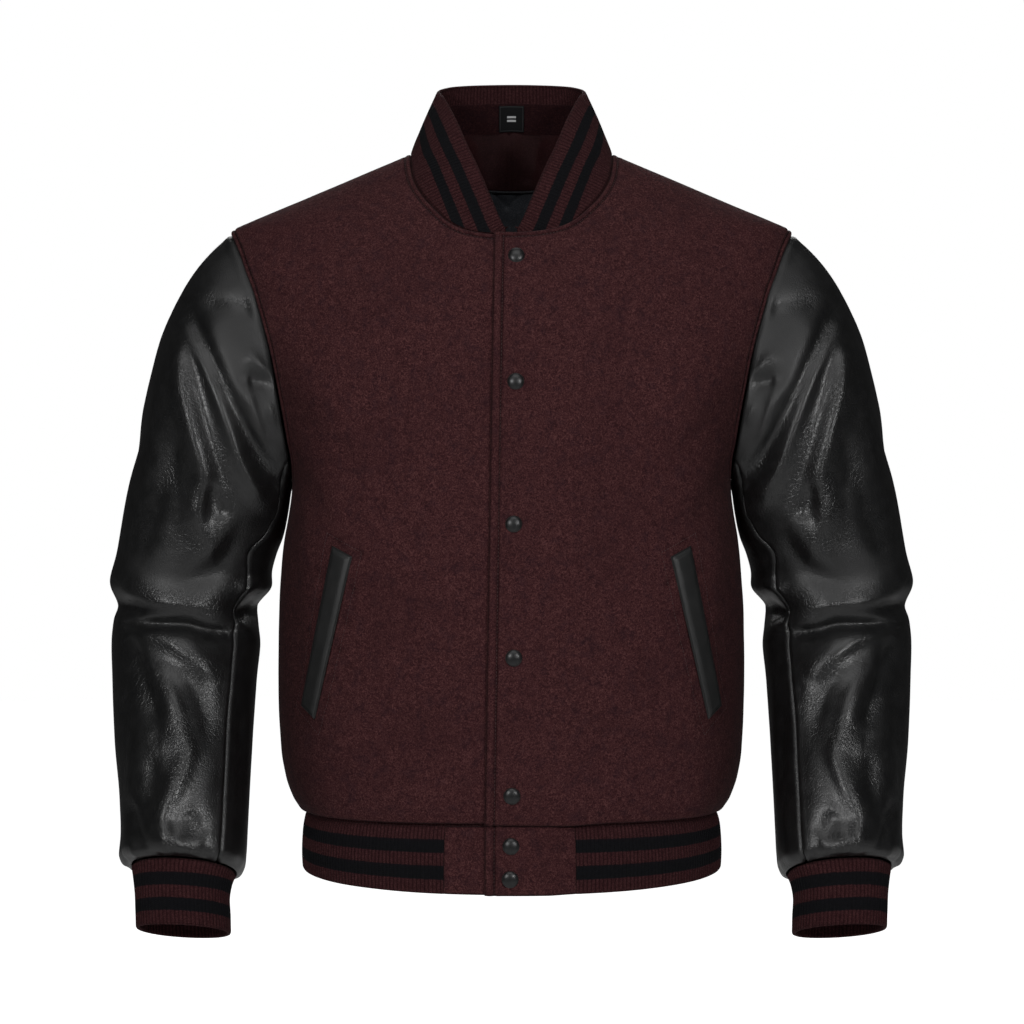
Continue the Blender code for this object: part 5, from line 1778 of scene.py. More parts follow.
    def build_back(self) -> Piece:
        """Make the back in one piece, split only at the neck opening."""
        angle, z, under_row, neck_row = self.form.half_panel(True, self.fine, self.columns - 12)
        grid = self.form.point(angle, z, True)
        normals = self.form.normal(angle, z, True)
        normals[:neck_row + 1, 0, 0] = 0.0
        normals = unit(normals)
        rows = (under_row, neck_row)
        move = self.half_lift(grid, normals, rows, True, 7, False)
        hush = smoothstep(0.0, 0.05, np.abs(grid[..., 0])) * smoothstep(
            0.0, 0.03, line_gap(grid, grid[:, -1])[0])
        moves = [move + self.ease(half, 9) * hush for half in (mirrored(grid), grid)]
        self.sew_lines(grid, normals, rows, "back", "back_")
        width = grid.shape[1]
        count = grid.shape[0] * width
        half = Cloth.from_grid(grid, normals, sheet=grid[..., [0, 2]])
        other = half.faces[:, ::-1] + count
        joined = np.arange(2 * count)
        middle = np.arange(neck_row + 1) * width
        joined[middle + count] = middle
        faces = np.vstack([half.faces, joined[other]])
        used, packed = np.unique(faces, return_inverse=True)
        points, ways = (np.vstack([form.reshape(-1, 3), mirrored(form).reshape(-1, 3)])[used]
                        for form in (grid, normals))
        lift = np.concatenate([half_move.ravel() for half_move in moves])[used]
        sheet = np.vstack([half.sheet, half.sheet[:, ::-1] * np.array([-1.0, 1.0])])
        cloth = Cloth(points, ways, packed.reshape(faces.shape), sheet)
        piece = cloth.wall("back_wool", WOOL_WALL, lift, np.minimum(lift, 0.0))
        # the painted shade mask goes on the wall as its seam mark
        mark(piece, "seam", np.tile(self.wear_and_painted_shade.ravel(), 2)[used])
        return piece

    def build(self) -> dict[str, Piece]:
        """Make the three wool pieces."""
        made = {"front_left": self.build_front("left", True),
                "front_right": self.build_front("right", False), "back": self.build_back()}
        self.lines["back_arm_right"] = self.lines["back_arm"].flipped("back")
        neck = self.lines["back_neck"]
        whole = np.vstack([mirrored(neck.points)[::-1], neck.points[1:]])
        ways = np.vstack([mirrored(neck.normals)[::-1], neck.normals[1:]])
        self.lines["back_neck"] = SewnLine(whole, ways, "back")
        return made

    def dress(self, made: dict[str, Piece], wool: Material) -> None:
        """Give the pieces their finish and their place in the model."""
        for name in ("front_left", "front_right"):
            settle(made[name], wool, (name,))
        settle(made["back"], wool, ("back",))


@dataclass
class Sleeves:
    """The black leather sleeves, each a top sleeve and an under sleeve."""

    form: SleeveForm
    body: BodyForm
    folds: tuple[Fold, ...] = SLEEVE_FOLDS
    slack: tuple[Fold, ...] = SLEEVE_SLACK
    gathers: Gathers = Gathers(22, (0.010, 0.022), (0.012, 0.034), 1.7 * MM, 23)
    head_ease: Gathers = Gathers(26, (0.008, 0.018), (0.010, 0.026), 0.7 * MM, 29)
    crumple: float = 0.55 * MM

    def shaped(self) -> tuple[Array, ...]:
        """Return the left sleeve's points, normals, moves, how hard it's creased and slack."""
        grid, body_normals = self.form.grid(self.body)
        normals = tube_normals(grid)
        agree = smoothstep(0.1, 0.6, (normals[0] * body_normals).sum(-1))[:, None]
        seat = unit(body_normals * agree + normals[0] * (1 - agree))
        reach = np.linalg.norm(grid - grid[:1], axis=-1)
        hold = (1 - smoothstep(0.0, 0.012, reach))[..., None]
        normals = unit(seat[None] * hold + normals * (1 - hold))
        move = folds_lift(self.folds, grid, normals)
        rings, count = grid.shape[:2]
        around = np.broadcast_to(np.arange(count) / count, (rings, count))
        busy = np.clip(np.abs(move) / 0.004, 0, 1)
        wobble = (soft_noise(grid, 44.0, 2) + 0.32 * soft_noise(grid, 100.0, 4)
                  + 0.12 * soft_noise(grid, 210.0, 6))
        slow = soft_noise(grid * np.array([1.0, 1.0, 0.6]), 17.0, 8)
        move = move + self.crumple * (wobble * (0.15 + 0.85 * busy) + 1.6 * slow)
        end = np.linalg.norm(grid - grid[-1:], axis=-1)
        move += self.gathers.lift(around, end) * smoothstep(0.0, 0.006, end)
        move += self.head_ease.lift(around, reach) * smoothstep(0.0, 0.006, reach)
        calm = smoothstep(0.0, 0.012, reach) * smoothstep(0.0, 0.008, end)
        move = move * calm
        move += turned_edge(reach, 0.0, 1.6 * MM, 0.2 * MM)
        for seam in (self.form.front_seam, self.form.back_seam):
            gap = line_gap(grid, grid[:, seam * self.form.fine])[0]
            move += -1.2 * MM * bell(gap, 1.5 * MM) + 0.45 * MM * bell(gap - 3.6 * MM, 2.0 * MM)
        flex = np.clip(busy * 0.8 + 0.35 * soft_noise(grid, 30.0, 12), 0, 1)
        slack = np.clip(folds_lift(self.slack, grid, normals), 0, 1) * (1 - 0.75 * busy)
        return grid, normals, move, flex, slack

    def build(self) -> dict[str, Piece]:
        """Make the four leather pieces."""
        grid, normals, move, flex, slack = self.shaped()
        fine, steps = self.form.fine, self.form.steps * self.form.fine
        made = {}
        spans = (("sleeve_top", self.form.back_seam - self.form.steps, self.form.front_seam),
                 ("sleeve_under", self.form.front_seam, self.form.back_seam))
        for name, first, last in spans:
            take = [k % steps for k in range(first * fine, last * fine + 1)]
            part, ways, lift = grid[:, take], normals[:, take], move[:, take]
            inner = np.minimum(lift, folds_lift(self.folds, part, ways))
            for side, flip in SIDES:
                cloth = Cloth.from_grid(flip(part), flip(ways))
                piece = cloth.wall(f"{name}_{side}_leather", LEATHER_WALL, lift, inner)
                mark(piece, "flex", flex[:, take])
                mark(piece, "slack", slack[:, take])
                made[f"{name}_{side}"] = piece
        return made

    def dress(self, made: dict[str, Piece], leather: Material) -> None:
        """Give the pieces their finish and their place in the model."""
        for side in ("left", "right"):
            for part, size in (("sleeve_top_", (0.430, 0.660, 0.205)),
                               ("sleeve_under_", (0.150, 0.480, 0.050))):
                settle(made[part + side], leather, (part + side,))


def raise_ribs(piece: Piece, along: Array, ways: Array, knit: Array,
               tree: NodePad, depth: float, finish: Material) -> None:
    """Give a rib piece what its tree reads, and run the tree.

    Args:
        piece: the wall made from the form.
        along: the place along the ring at each point of the form.
        ways: the outward normals there.
        knit: how far the ribs take hold there.
        tree: the tree that raises the ribs.
        depth: how deep they are.
        finish: their material.
    """
    along, ways, knit = along.ravel(), ways.reshape(-1, 3), knit.ravel()
    count = len(along)
    total = len(piece.data.vertices)
    run = np.zeros(total, np.float32)
    run[:count], run[count:2 * count] = along, along
    shown = np.ones(total, np.float32)
    shown[count:] = 0.0
    hold = np.zeros(total, np.float32)
    hold[:count], hold[count:2 * count] = knit, knit * 0.8
    out = np.zeros((total, 3), np.float32)
    out[:count], out[count:2 * count] = ways, -ways
    for name, values in (("along", run), ("knit", hold), ("shown", shown), ("raise", out)):
        keep_values(piece.data, name, values)
    run_tree(piece, tree, {"Rib Pitch": RIB_PITCH, "Rib Depth": depth, "Finish": finish})


@dataclass
class Cuffs:
    """The two rib cuffs."""

    form: CuffForm
    depth: float = 0.95 * MM
    ease: float = 0.7 * MM

    def build(self, tree: NodePad, finish: Material) -> dict[str, Piece]:
        """Make both cuffs."""
        grid = self.form.grid()
        normals = tube_normals(grid)
        rows, steps = grid.shape[:2]
        ring = grid[-1]
        length = float(np.linalg.norm(np.roll(ring, -1, 0) - ring, axis=1).sum())
        ribs = round(length / RIB_PITCH)
        along = np.arange(steps + 1) * (ribs * RIB_PITCH / steps)
        run = np.stack([run_along(grid[::-1, j])[::-1] for j in range(steps)], 1)
        sheet = np.stack([np.broadcast_to(along, (rows, steps + 1)),
                          np.concatenate([run, run[:, :1]], 1)], -1)
        wave = self.ease * soft_noise(grid, 30.0, 31) * smoothstep(0.0, 0.012, run)
        near_seam = smoothstep(0.0, 0.006, run.max() - run)
        knit = smoothstep(0.0, 0.0035, run) * (0.25 + 0.75 * near_seam)
        made = {}
        for side, flip in SIDES:
            cloth = Cloth.from_grid(flip(grid), flip(normals), closed=True, sheet=sheet)
            piece = cloth.wall(f"cuff_{side}_knit", RIB_WALL, wave, wave, rounding=0.42)
            raise_ribs(piece, np.broadcast_to(along[:-1], (rows, steps)), flip(normals), knit,
                       tree, self.depth, finish)
            made["cuff_" + side] = piece
        return made

    def dress(self, made: dict[str, Piece]) -> None:
        """Give the cuffs their place in the model."""
        for side in ("left", "right"):
            settle(made["cuff_" + side], None, ("cuff_" + side,))


@dataclass
class Neck:
    """The rib collar with the facing and label inside it."""

    form: CollarForm
    body: BodyForm
    depth: float = 0.9 * MM
    facing_rows: tuple[float, float] = (0.745, 0.30)
    facing_reach: float = 0.35

    def build_collar(self, tree: NodePad, finish: Material) -> Piece:
        """Make the collar with its ribs."""
        grid, normals = self.form.whole(self.body)
        columns, rows = grid.shape[:2]
        along = np.broadcast_to(run_along(grid[:, rows // 2])[:, None], (columns, rows))
        run = np.stack([run_along(grid[j, ::-1])[::-1] for j in range(columns)])
        end = np.minimum(along, along.max() - along)
        sheet = np.stack([along, run], -1)
        knit = smoothstep(0.0, 0.0040, run) * smoothstep(0.0, 0.004, end) * (
            0.2 + 0.8 * smoothstep(0.0, 0.006, run.max(1, keepdims=True) - run))
        wave = 0.5 * MM * soft_noise(grid, 26.0, 41) * smoothstep(0.0, 0.02, end)
        cloth = Cloth.from_grid(grid, normals, sheet=sheet)
        piece = cloth.wall("collar_knit", RIB_WALL, wave, wave, SEAM_HALF, rounding=0.40)
        raise_ribs(piece, along, normals, knit, tree, self.depth, finish)
        return piece

    def facing_grid(self, rows: int = 22) -> Pair:
        """Return the facing's points and outward normals, rows from the top."""
        grid, normals, share = self.form.half(self.body)
        keep = share >= 1 - self.facing_reach
        grid, normals = grid[keep][::3], normals[keep][::3]
        if not np.isclose(grid[-1, 0, 0], 0, atol=1e-6):
            last, last_way, _ = self.form.half(self.body)
            grid = np.concatenate([grid, last[-1:]])
            normals = np.concatenate([normals, last_way[-1:]])
        whole = np.concatenate([mirrored(grid)[:-1], grid[::-1]])
        ways = np.concatenate([mirrored(normals)[:-1], normals[::-1]])
        at = crowded(self.form.rows, self.form.crowd)
        shares = np.linspace(*self.facing_rows, rows)
        points = np.stack([read_along(shares, at, column) for column in whole], 1)
        out = unit(np.stack([read_along(shares, at, column) for column in ways], 1))
        return points - out * (RIB_WALL + 0.9 * MM), out

    def build_facing(self) -> Piece:
        """Make the wool facing inside the back of the collar."""
        points, out = self.facing_grid()
        gap_top = run_along(points[:, points.shape[1] // 2])
        gap = np.minimum(gap_top, gap_top[::-1])[:, None]
        bulge = np.broadcast_to(-0.5 * MM * bell(gap, 1.6 * MM), points.shape[:2])
        cloth = Cloth.from_grid(points, out)
        toward = 0.35 * MM + bulge * 0.6
        return cloth.wall("neck_facing_wool", LINING_WALL, -toward, -toward)

    def build_label(self) -> Piece:
        """Make the square woven label."""
        points, out = self.facing_grid()
        half = LABEL_HALF
        low, high = points[-1], points[0]
        shift = LINING_WALL + 0.9 * MM
        rows, columns = 14, 14
        label = np.zeros((rows, columns, 3))
        across = np.linspace(-half, half, columns)
        for i, share in enumerate(np.linspace(0.06, 0.88, rows)):
            row = (high - out[0] * shift) * (1 - share) + (low - out[-1] * shift) * share
            order = np.argsort(row[:, 0])
            label[i, :, 0] = across
            label[i, :, 1] = np.interp(across, row[order, 0], row[order, 1])
            label[i, :, 2] = np.interp(across, row[order, 0], row[order, 2])
        ways = np.broadcast_to([0.0, 1.0, 0.0], label.shape) * 1.0
        u, v = np.meshgrid(np.linspace(-1, 1, columns), np.linspace(1, -1, rows))
        sheet = np.stack([u * half, v * half], -1)
        puff = 0.35 * MM * (1 - np.maximum(np.abs(u), np.abs(v)) ** 6)
        cloth = Cloth.from_grid(label, ways, sheet=sheet)
        return cloth.wall("woven_label", 0.6 * MM, puff * 0, -puff)


@dataclass
class NeckLining:
    """The maroon yoke lining, its piping and the black lining below."""

    # height, back y, half width, side y, sag
    yoke_rows: Rows = ((0.0150, 0.0745, 0.0660, 0.020, 0.000),
                       (-0.0050, 0.0760, 0.0680, 0.020, 0.002),
                       (-0.0180, 0.0775, 0.0690, 0.020, 0.005))
    lower_rows: Rows = ((-0.0205, 0.0780, 0.0690, 0.020, 0.005),
                        (-0.0500, 0.0820, 0.0760, 0.024, 0.003),
                        (-0.0900, 0.0870, 0.0840, 0.028, 0.000),
                        (-0.1400, 0.0920, 0.0900, 0.030, 0.000))
    columns: int = 73

    def rows(self, table: Array, count: int) -> Array:
        """Return a grid of the lining from a table of rows."""
        fine = smooth_rows(table, np.linspace(0, len(table) - 1, count))
        reach = math.radians(68)
        turn = np.linspace(-reach, reach, self.columns)
        fall = (np.cos(turn) - math.cos(reach)) / (1 - math.cos(reach))
        x = fine[:, 2:3] * np.sin(turn) / math.sin(reach)
        y = fine[:, 3:4] + (fine[:, 1:2] - fine[:, 3:4]) * fall
        return np.stack([x, y, fine[:, 0:1] - fine[:, 4:5] * fall], -1)

    def build(self, foot: Array) -> dict[str, Piece]:
        """Make the three lining pieces.

        Args:
            foot: the points of the facing's lower edge.

        Returns:
            The pieces.
        """
        made = {}
        foot = foot[np.argsort(foot[:, 0])]
        top = np.array(self.yoke_rows[0])
        top[0] = foot[:, 2].min() - 0.6 * MM
        yoke = self.rows(np.vstack([top, np.array(self.yoke_rows)]), 34)
        seat = yoke[0].copy()
        for axis, lift in ((1, -1.8 * MM), (2, 1.6 * MM)):
            seat[:, axis] = np.interp(seat[:, 0], foot[:, 0], foot[:, axis]) + lift
        hang = 1 - smoothstep(0.0, 1.0, np.linspace(0, 2.2, len(yoke)))[:, None, None]
        yoke = yoke + (seat - yoke[0]) * hang
        lower = self.rows(np.array(self.lower_rows), 44)
        for name, grid, seed in (("lining_yoke", yoke, 51), ("lining_lower", lower, 53)):
            out = -grid_normals(grid)
            x, z = grid[..., 0], grid[..., 2]
            run = run_along(grid[:, self.columns // 2])
            calm = smoothstep(0.0, 0.008, np.minimum(run, run[::-1])[:, None])
            soft = (soft_noise(grid * np.array([1.0, 0.2, 0.45]), 60.0, seed)
                    + 0.6 * soft_noise(grid, 110.0, seed + 1))
            move = calm * (1.0 * MM * soft)
            if name == "lining_yoke":
                seam = np.abs(x + 0.002)
                move += 0.9 * MM * bell(seam, 1.4 * MM) - 1.0 * MM * bell(seam - 5 * MM, 3.5 * MM)
                move += calm * 1.4 * MM * bell(np.abs(x - 0.021 - 0.25 * z), 5 * MM)
                move += calm * 1.2 * MM * bell(np.abs(x + 0.028 + 0.35 * z), 6 * MM)
            else:
                for side in (-1, 1):
                    vee = np.abs((x + 0.004) * side - 0.9 * (z + 0.038))
                    move += 2.0 * MM * bell(vee, 1.7 * MM) * smoothstep(-0.044, -0.036, z)
            cloth = Cloth.from_grid(grid, out, sheet=grid[..., [0, 2]])
            toward = -(move + 0.5 * MM * calm)
            made[name] = cloth.wall(name + "_satin", LINING_WALL, toward, toward)
        path = (yoke[-1] + lower[0]) / 2 - np.array([0.0, 0.5 * MM, 0.0])
        made["lining_piping"] = tube_piece("piping_cord", path, 1.15 * MM)
        return made


@dataclass
class Waistband:
    """The rib waistband and the two wool tabs at its front."""

    form: BandForm
    tab_right_end: float = 0.0599
    tab_left_end: float = 0.0573
    lap_full: float = 0.030
    depth: float = 1.0 * MM
    rows: int = 17
    tuck: float = 1.4 * MM
    reach: float = 3.2 * MM
    stitch: float = 8.6 * MM
    lines: dict[str, SewnLine] = field(default_factory=dict)

    def build_rib(self, tree: NodePad, finish: Material) -> Piece:
        """Make the rib from the left tab round the back to the right tab."""
        start = self.form.angle(self.tab_left_end - self.tuck)
        end = 2 * math.pi - self.form.angle(self.tab_right_end - self.tuck)
        turn = np.linspace(start, end, 4000)

        def place(turns: Array, row: float) -> Array:
            """Return band points at turns round from the centre front."""
            angle, back = band_turn(turns)
            return self.form.point(angle, np.full(len(turns), row), back)

        run = run_along(place(turn, 1.5))
        ribs = round(run[-1] / RIB_PITCH)
        stops = np.linspace(0, run[-1], 5 * ribs + 1)
        angle, back = band_turn(np.interp(stops, run, turn))
        grid = self.form.strip(angle, back, self.rows)
        normals = outward(grid_normals(grid), grid)
        along = np.broadcast_to(stops * ribs * RIB_PITCH / run[-1], grid.shape[:2])
        drop = run_along(grid[:, len(stops) // 2])
        below = (drop[-1] - drop)[:, None]
        above = drop[-1] - below
        # the back's hem stands off a little, so the rib reaches up under it
        under = bell(above, 3.0 * MM) * smoothstep(-0.03, 0.04, grid[..., 1])
        grid = grid + under[..., None] * (np.array([0.0, 0.0, self.reach]) - 0.9 * MM * normals)
        side = np.minimum(stops, run[-1] - stops)[None, :]
        sheet = np.stack([along, np.broadcast_to(below, along.shape)], -1)
        knit = (smoothstep(0.0, 0.004, below) * (0.15 + 0.85 * smoothstep(0.0, 0.005, above))
                * smoothstep(0.0, 0.003, side))
        calm = smoothstep(0.0, 0.010, above) * smoothstep(0.0, 0.02, side)
        wave = calm * (0.9 * MM * soft_noise(grid * np.array([1, 1, 0.4]), 24.0, 61))
        wave = wave - 1.0 * MM * bell(above, 2.0 * MM) - 0.8 * MM * bell(side, 1.6 * MM)
        cloth = Cloth.from_grid(grid, normals, sheet=sheet)
        piece = cloth.wall("waistband_knit", RIB_WALL, wave, np.minimum(wave, 0.0), rounding=0.40)
        raise_ribs(piece, along, normals, knit, tree, self.depth, finish)
        return piece

    def build_tab(self, side: str) -> Piece:
        """Make one plain wool tab."""
        over = side == "left"
        first = -OVER_EDGE if over else -UNDER_EDGE
        last = self.tab_left_end if over else self.tab_right_end
        at = crowded(56, 0.55)
        angles = np.array([self.form.angle(first)]) * (1 - at) + self.form.angle(last) * at
        grid = self.form.strip(angles, np.zeros(len(angles), bool), 44)
        normals = outward(grid_normals(grid), grid)
        if over:
            lap = LAP_LIFT * (1 - smoothstep(self.lap_full, self.tab_left_end, grid[..., 0]))
            grid = grid + normals * lap[..., None]
        gaps = {"edge": grid[:, 0], "join": grid[:, -1], "top": grid[0], "hem": grid[-1]}
        gap = {key: line_gap(grid, line)[0] for key, line in gaps.items()}
        calm = np.minimum.reduce([smoothstep(0.0, 0.012, value) for value in gap.values()])
        move = calm * 0.4 * MM * soft_noise(grid, 40.0, 71)
        for key, sink, puff in (("join", 0.5, 0.35), ("top", 1.0, 0.3), ("hem", 0.7, 0.5)):
            move += turned_edge(gap[key], 0.0, sink * MM, puff * MM)
        move += turned_edge(gap["edge"], self.stitch if over else 0.0, 1.0 * MM, 0.7 * MM)
        name = "waistband_tab_" + side
        if over:
            line = inset(grid[:, 0], normals[:, 0], grid[:, 8], self.stitch)
            self.lines["tab_edge"] = SewnLine(line, normals[:, 0], name)
        flip = np.array if over else mirrored
        cloth = Cloth.from_grid(flip(grid), flip(normals), sheet=grid[..., [0, 2]])
        piece = cloth.wall(name + "_wool", WOOL_WALL, move, np.minimum(move, 0.0), rounding=0.40)
        # painted shade: the seam mark darkens the tab's wool in the dips at its join, top, hem and
        # edge
        mark(piece, "seam", np.clip(-move / (0.85 * MM), 0, 1))
        return piece

    def dress(self, rib: Piece, tabs: dict[str, Piece], wool: Material) -> None:
        """Give the pieces their finish and their place in the model."""
        settle(rib, None, ("waistband_rib",))
        for side, piece in tabs.items():
            settle(piece, wool, ("waistband_tab_" + side,))


def band_turn(turn: Array) -> Pair:
    """Read turns round from the centre front as an angle and whether it's at the back."""
    quarter = math.pi / 2
    back = (turn > quarter) & (turn < 3 * quarter)
    angle = np.where(turn <= quarter, turn, np.where(back, math.pi - turn, turn - 2 * math.pi))
    return angle, back


@dataclass
class Pockets:
    """The two slanted leather welts."""

    body: BodyForm
    # distance from the centre, height: upper outer, upper inner, lower inner, lower outer
    corners: Rows = ((0.1587, -0.3656), (0.1402, -0.3753), (0.1746, -0.5208), (0.1875, -0.5093))
    wall: float = 3.0 * MM
    ring_reach: float = 7.2 * MM

    def on_body(self, flat: Array) -> Pair:
        """Return points and normals of the front at flat places."""
        angle = self.body.angle_at(flat[..., 0], flat[..., 1])
        return (self.body.point(angle, flat[..., 1]), self.body.normal(angle, flat[..., 1]))

    def ring(self) -> Pair:
        """Return points and normals of the line stitched round the left welt."""
        corners = np.array(self.corners)
        middle = corners.mean(0)
        grown = []
        for k in range(4):
            before, here, after = corners[k - 1], corners[k], corners[(k + 1) % 4]
            first, second = unit(here - before), unit(after - here)
            out_first = np.array([-first[1], first[0]])
            out_second = np.array([-second[1], second[0]])
            if out_first @ (here - middle) < 0:
                out_first, out_second = -out_first, -out_second
            way = unit(out_first + out_second)
            grown.append(here + way * self.ring_reach / max(float(way @ out_first), 0.5))
        loop = np.array(grown + grown[:1])
        path = np.vstack([np.linspace(a, b, 60)[:-1] for a, b in zip(loop, loop[1:])] + [loop[:1]])
        return self.on_body(path)

    def build(self) -> dict[str, Piece]:
        """Make both welts."""
        corners = np.array(self.corners)
        along = crowded(96, 0.6)[:, None, None]
        across = crowded(25, 0.3)[None, :, None]
        outer = corners[0] * (1 - along) + corners[3] * along
        inner = corners[1] * (1 - along) + corners[2] * along
        flat = outer * (1 - across) + inner * across
        grid, normals = self.on_body(flat)
        grid = grid + normals * (0.5 * MM + self.wall)
        edges = [grid[0], grid[-1], grid[:, 0], grid[:, -1]]
        gap = [line_gap(grid, edge)[0] for edge in edges]
        near = np.minimum.reduce(gap)
        move = 1.1 * MM * smoothstep(0.0, 0.006, near) - 0.9 * MM * bell(near, 1.3 * MM)
        move += 0.35 * MM * soft_noise(grid * np.array([1, 1, 0.5]), 60.0, 81) * smoothstep(
            0.0, 0.004, near)
        move -= 0.45 * MM * bell(np.minimum(gap[0], gap[1]) - 2.6 * MM, 0.9 * MM)
        made = {}
        for side, flip in SIDES:
            cloth = Cloth.from_grid(flip(grid), flip(normals))
            made["pocket_welt_" + side] = cloth.wall(f"welt_{side}_leather", self.wall, move,
                                                     move * 0, rounding=0.35)
        return made

    def dress(self, made: dict[str, Piece], leather: Material) -> None:
        """Give the welts their finish and their place in the model."""
        for side in ("left", "right"):
            name = "pocket_welt_" + side
            settle(made[name], leather, (name,))


def surface(cloth: Piece) -> BVHTree:
    """Return a search tree of a piece's faces."""
    shell = bmesh.new()
    shell.from_mesh(cloth.data)
    tree = BVHTree.FromBMesh(shell)
    shell.free()
    return tree


def lay_on(cloth: Piece, points: Array, normals: Array, sink: float = 0.0) -> Pair:
    """Drop points onto a finished piece along their normals.

    Args:
        cloth: the piece.
        points: the points.
        normals: the ways off the cloth.
        sink: how far under its surface they end.

    Returns:
        The points on it and its normals there, without the points that miss it.
    """
    tree = surface(cloth)
    seats, ways = [], []
    for point, normal in zip(points, normals):
        hit, way, _, _ = tree.ray_cast(Vector(point + normal * LAY_REACH), Vector(-normal),
                                       2 * LAY_REACH)
        if hit is not None:
            seats.append(np.array(hit) - normal * sink)
            ways.append(np.array(way))
    return np.array(seats), np.array(ways)


@dataclass
class Snaps:
    """Seven domed snap caps down the placket and its tab."""

    # distance from the centre, height
    places: Rows = ((0.0044, -0.1075), (0.0038, -0.2211), (0.0020, -0.3461), (0.0020, -0.4627),
                    (0.0004, -0.5828), (-0.0004, -0.6273), (-0.0012, -0.6560))
    radius: float = 7.4 * MM
    height: float = 3.2 * MM
    # radius and height as shares, from the middle of the underside round the rim to the top
    profile: Rows = ((0.00, -0.20), (0.80, -0.20), (0.95, -0.10), (1.00, 0.05), (1.00, 0.15),
                     (0.975, 0.27), (0.93, 0.39), (0.86, 0.52), (0.77, 0.64), (0.66, 0.75),
                     (0.53, 0.85), (0.37, 0.93), (0.19, 0.985), (0.00, 1.00))
    sides: int = 40
    tab_top: float = -0.612
    tab_front: float = -0.150

    def build(self, tree: NodePad, finish: Material, cloths: tuple[Piece, ...]) -> Piece:
        """Set a cap at every place.

        Args:
            tree: the tree that sets them.
            finish: their material.
            cloths: the front and the tab that they sit on.

        Returns:
            The caps as one piece.
        """
        turns = np.arange(self.sides) * 2 * math.pi / self.sides
        ring = np.stack([np.cos(turns), np.sin(turns), 0 * turns], -1)
        rows = np.array([ring * r * self.radius + np.array([0, 0, h * self.height])
                         for r, h in self.profile[1:-1]])
        form = Cloth.from_grid(rows, rows, closed=True)
        points = np.vstack([rows.reshape(-1, 3), [[0, 0, self.profile[0][1] * self.height],
                                                  [0, 0, self.height]]])
        last = len(points) - 1
        faces = [tuple(f) for f in form.faces.tolist()]
        top = (len(rows) - 1) * self.sides
        for k in range(self.sides):
            n = (k + 1) % self.sides
            faces += [(k, n, last - 1), (top + k, top + n, last)]
        cap = plain_piece("snap_cap", points, faces)
        rim = [bell(np.array(r - 0.95), 0.06) for r, _ in self.profile[1:-1]]
        keep_values(cap.data, "rim", np.concatenate([np.repeat(rim, self.sides), [0, 0]]))
        seats, ways = [], []
        ahead = np.array([0.0, -1.0, 0.0])
        for x, z in self.places:
            on_tab = z < self.tab_top
            cloth = cloths[1] if on_tab else cloths[0]
            start = np.array([[x, self.tab_front, z]]) if on_tab else self.above(cloth, x, z)
            seat, way = lay_on(cloth, start, ahead[None])
            seats.append(seat[0])
            ways.append(unit(way[0] + ahead))
        mesh = bpy.data.meshes.new("snaps")
        mesh.from_pydata([tuple(p) for p in seats], [], [])
        keep_values(mesh, "out", np.array(ways))
        piece = linked("snaps", mesh)
        run_tree(piece, tree, {"Cap": cap, "Size": 1.0, "Finish": finish})
        bpy.data.objects.remove(cap)
        return piece

    def above(self, cloth: Piece, x: float, z: float) -> Array:
        """Return a point just in front of a cloth at this place."""
        hit = surface(cloth).ray_cast(Vector((x, -1.0, z)), Vector((0, 1, 0)))[0]
        return np.array([[hit.x, hit.y, hit.z]])

    def dress(self, piece: Piece) -> None:
        """Give the caps their place in the model."""
        settle(piece, None, tuple(f"snap_{k + 1}" for k in range(len(self.places))))


@dataclass(frozen=True)
class Topstitching:
    """Rows of stitches in one thread."""

    name: str
    slot: str
    length: float = 2.6 * MM
    gap: float = 0.55 * MM
    thread: float = 0.5 * MM
    height: float = 0.34 * MM
    sink: float = 0.06 * MM

    def build(self, tree: NodePad, finish: Material, lines: list[SewnLine],
              cloths: dict[str, Piece]) -> Piece:
        """Sew the lines.

        Args:
            tree: the tree that sews them.
            finish: the thread.
            lines: where they run.
            cloths: every piece by its name.

        Returns:
            The stitches as one piece.
        """
        points: list[Array] = []
        ways: list[Array] = []
        edges: list[tuple[int, int]] = []
        count = 0
        for line in lines:
            seats, out = lay_on(cloths[line.cloth], line.points, line.normals, self.sink)
            if len(seats) < 2:
                continue
            points.append(seats)
            ways.append(out)
            edges += [(count + k, count + k + 1) for k in range(len(seats) - 1)]
            count += len(seats)
        mesh = bpy.data.meshes.new(self.name)
        mesh.from_pydata(np.vstack(points).tolist(), edges, [])
        keep_values(mesh, "out", np.vstack(ways))
        piece = linked(self.name, mesh)
        run_tree(piece, tree, {"Stitch Length": self.length, "Gap": self.gap,
                               "Thread": self.thread, "Height": self.height, "Finish": finish})
        settle(piece)
        return piece


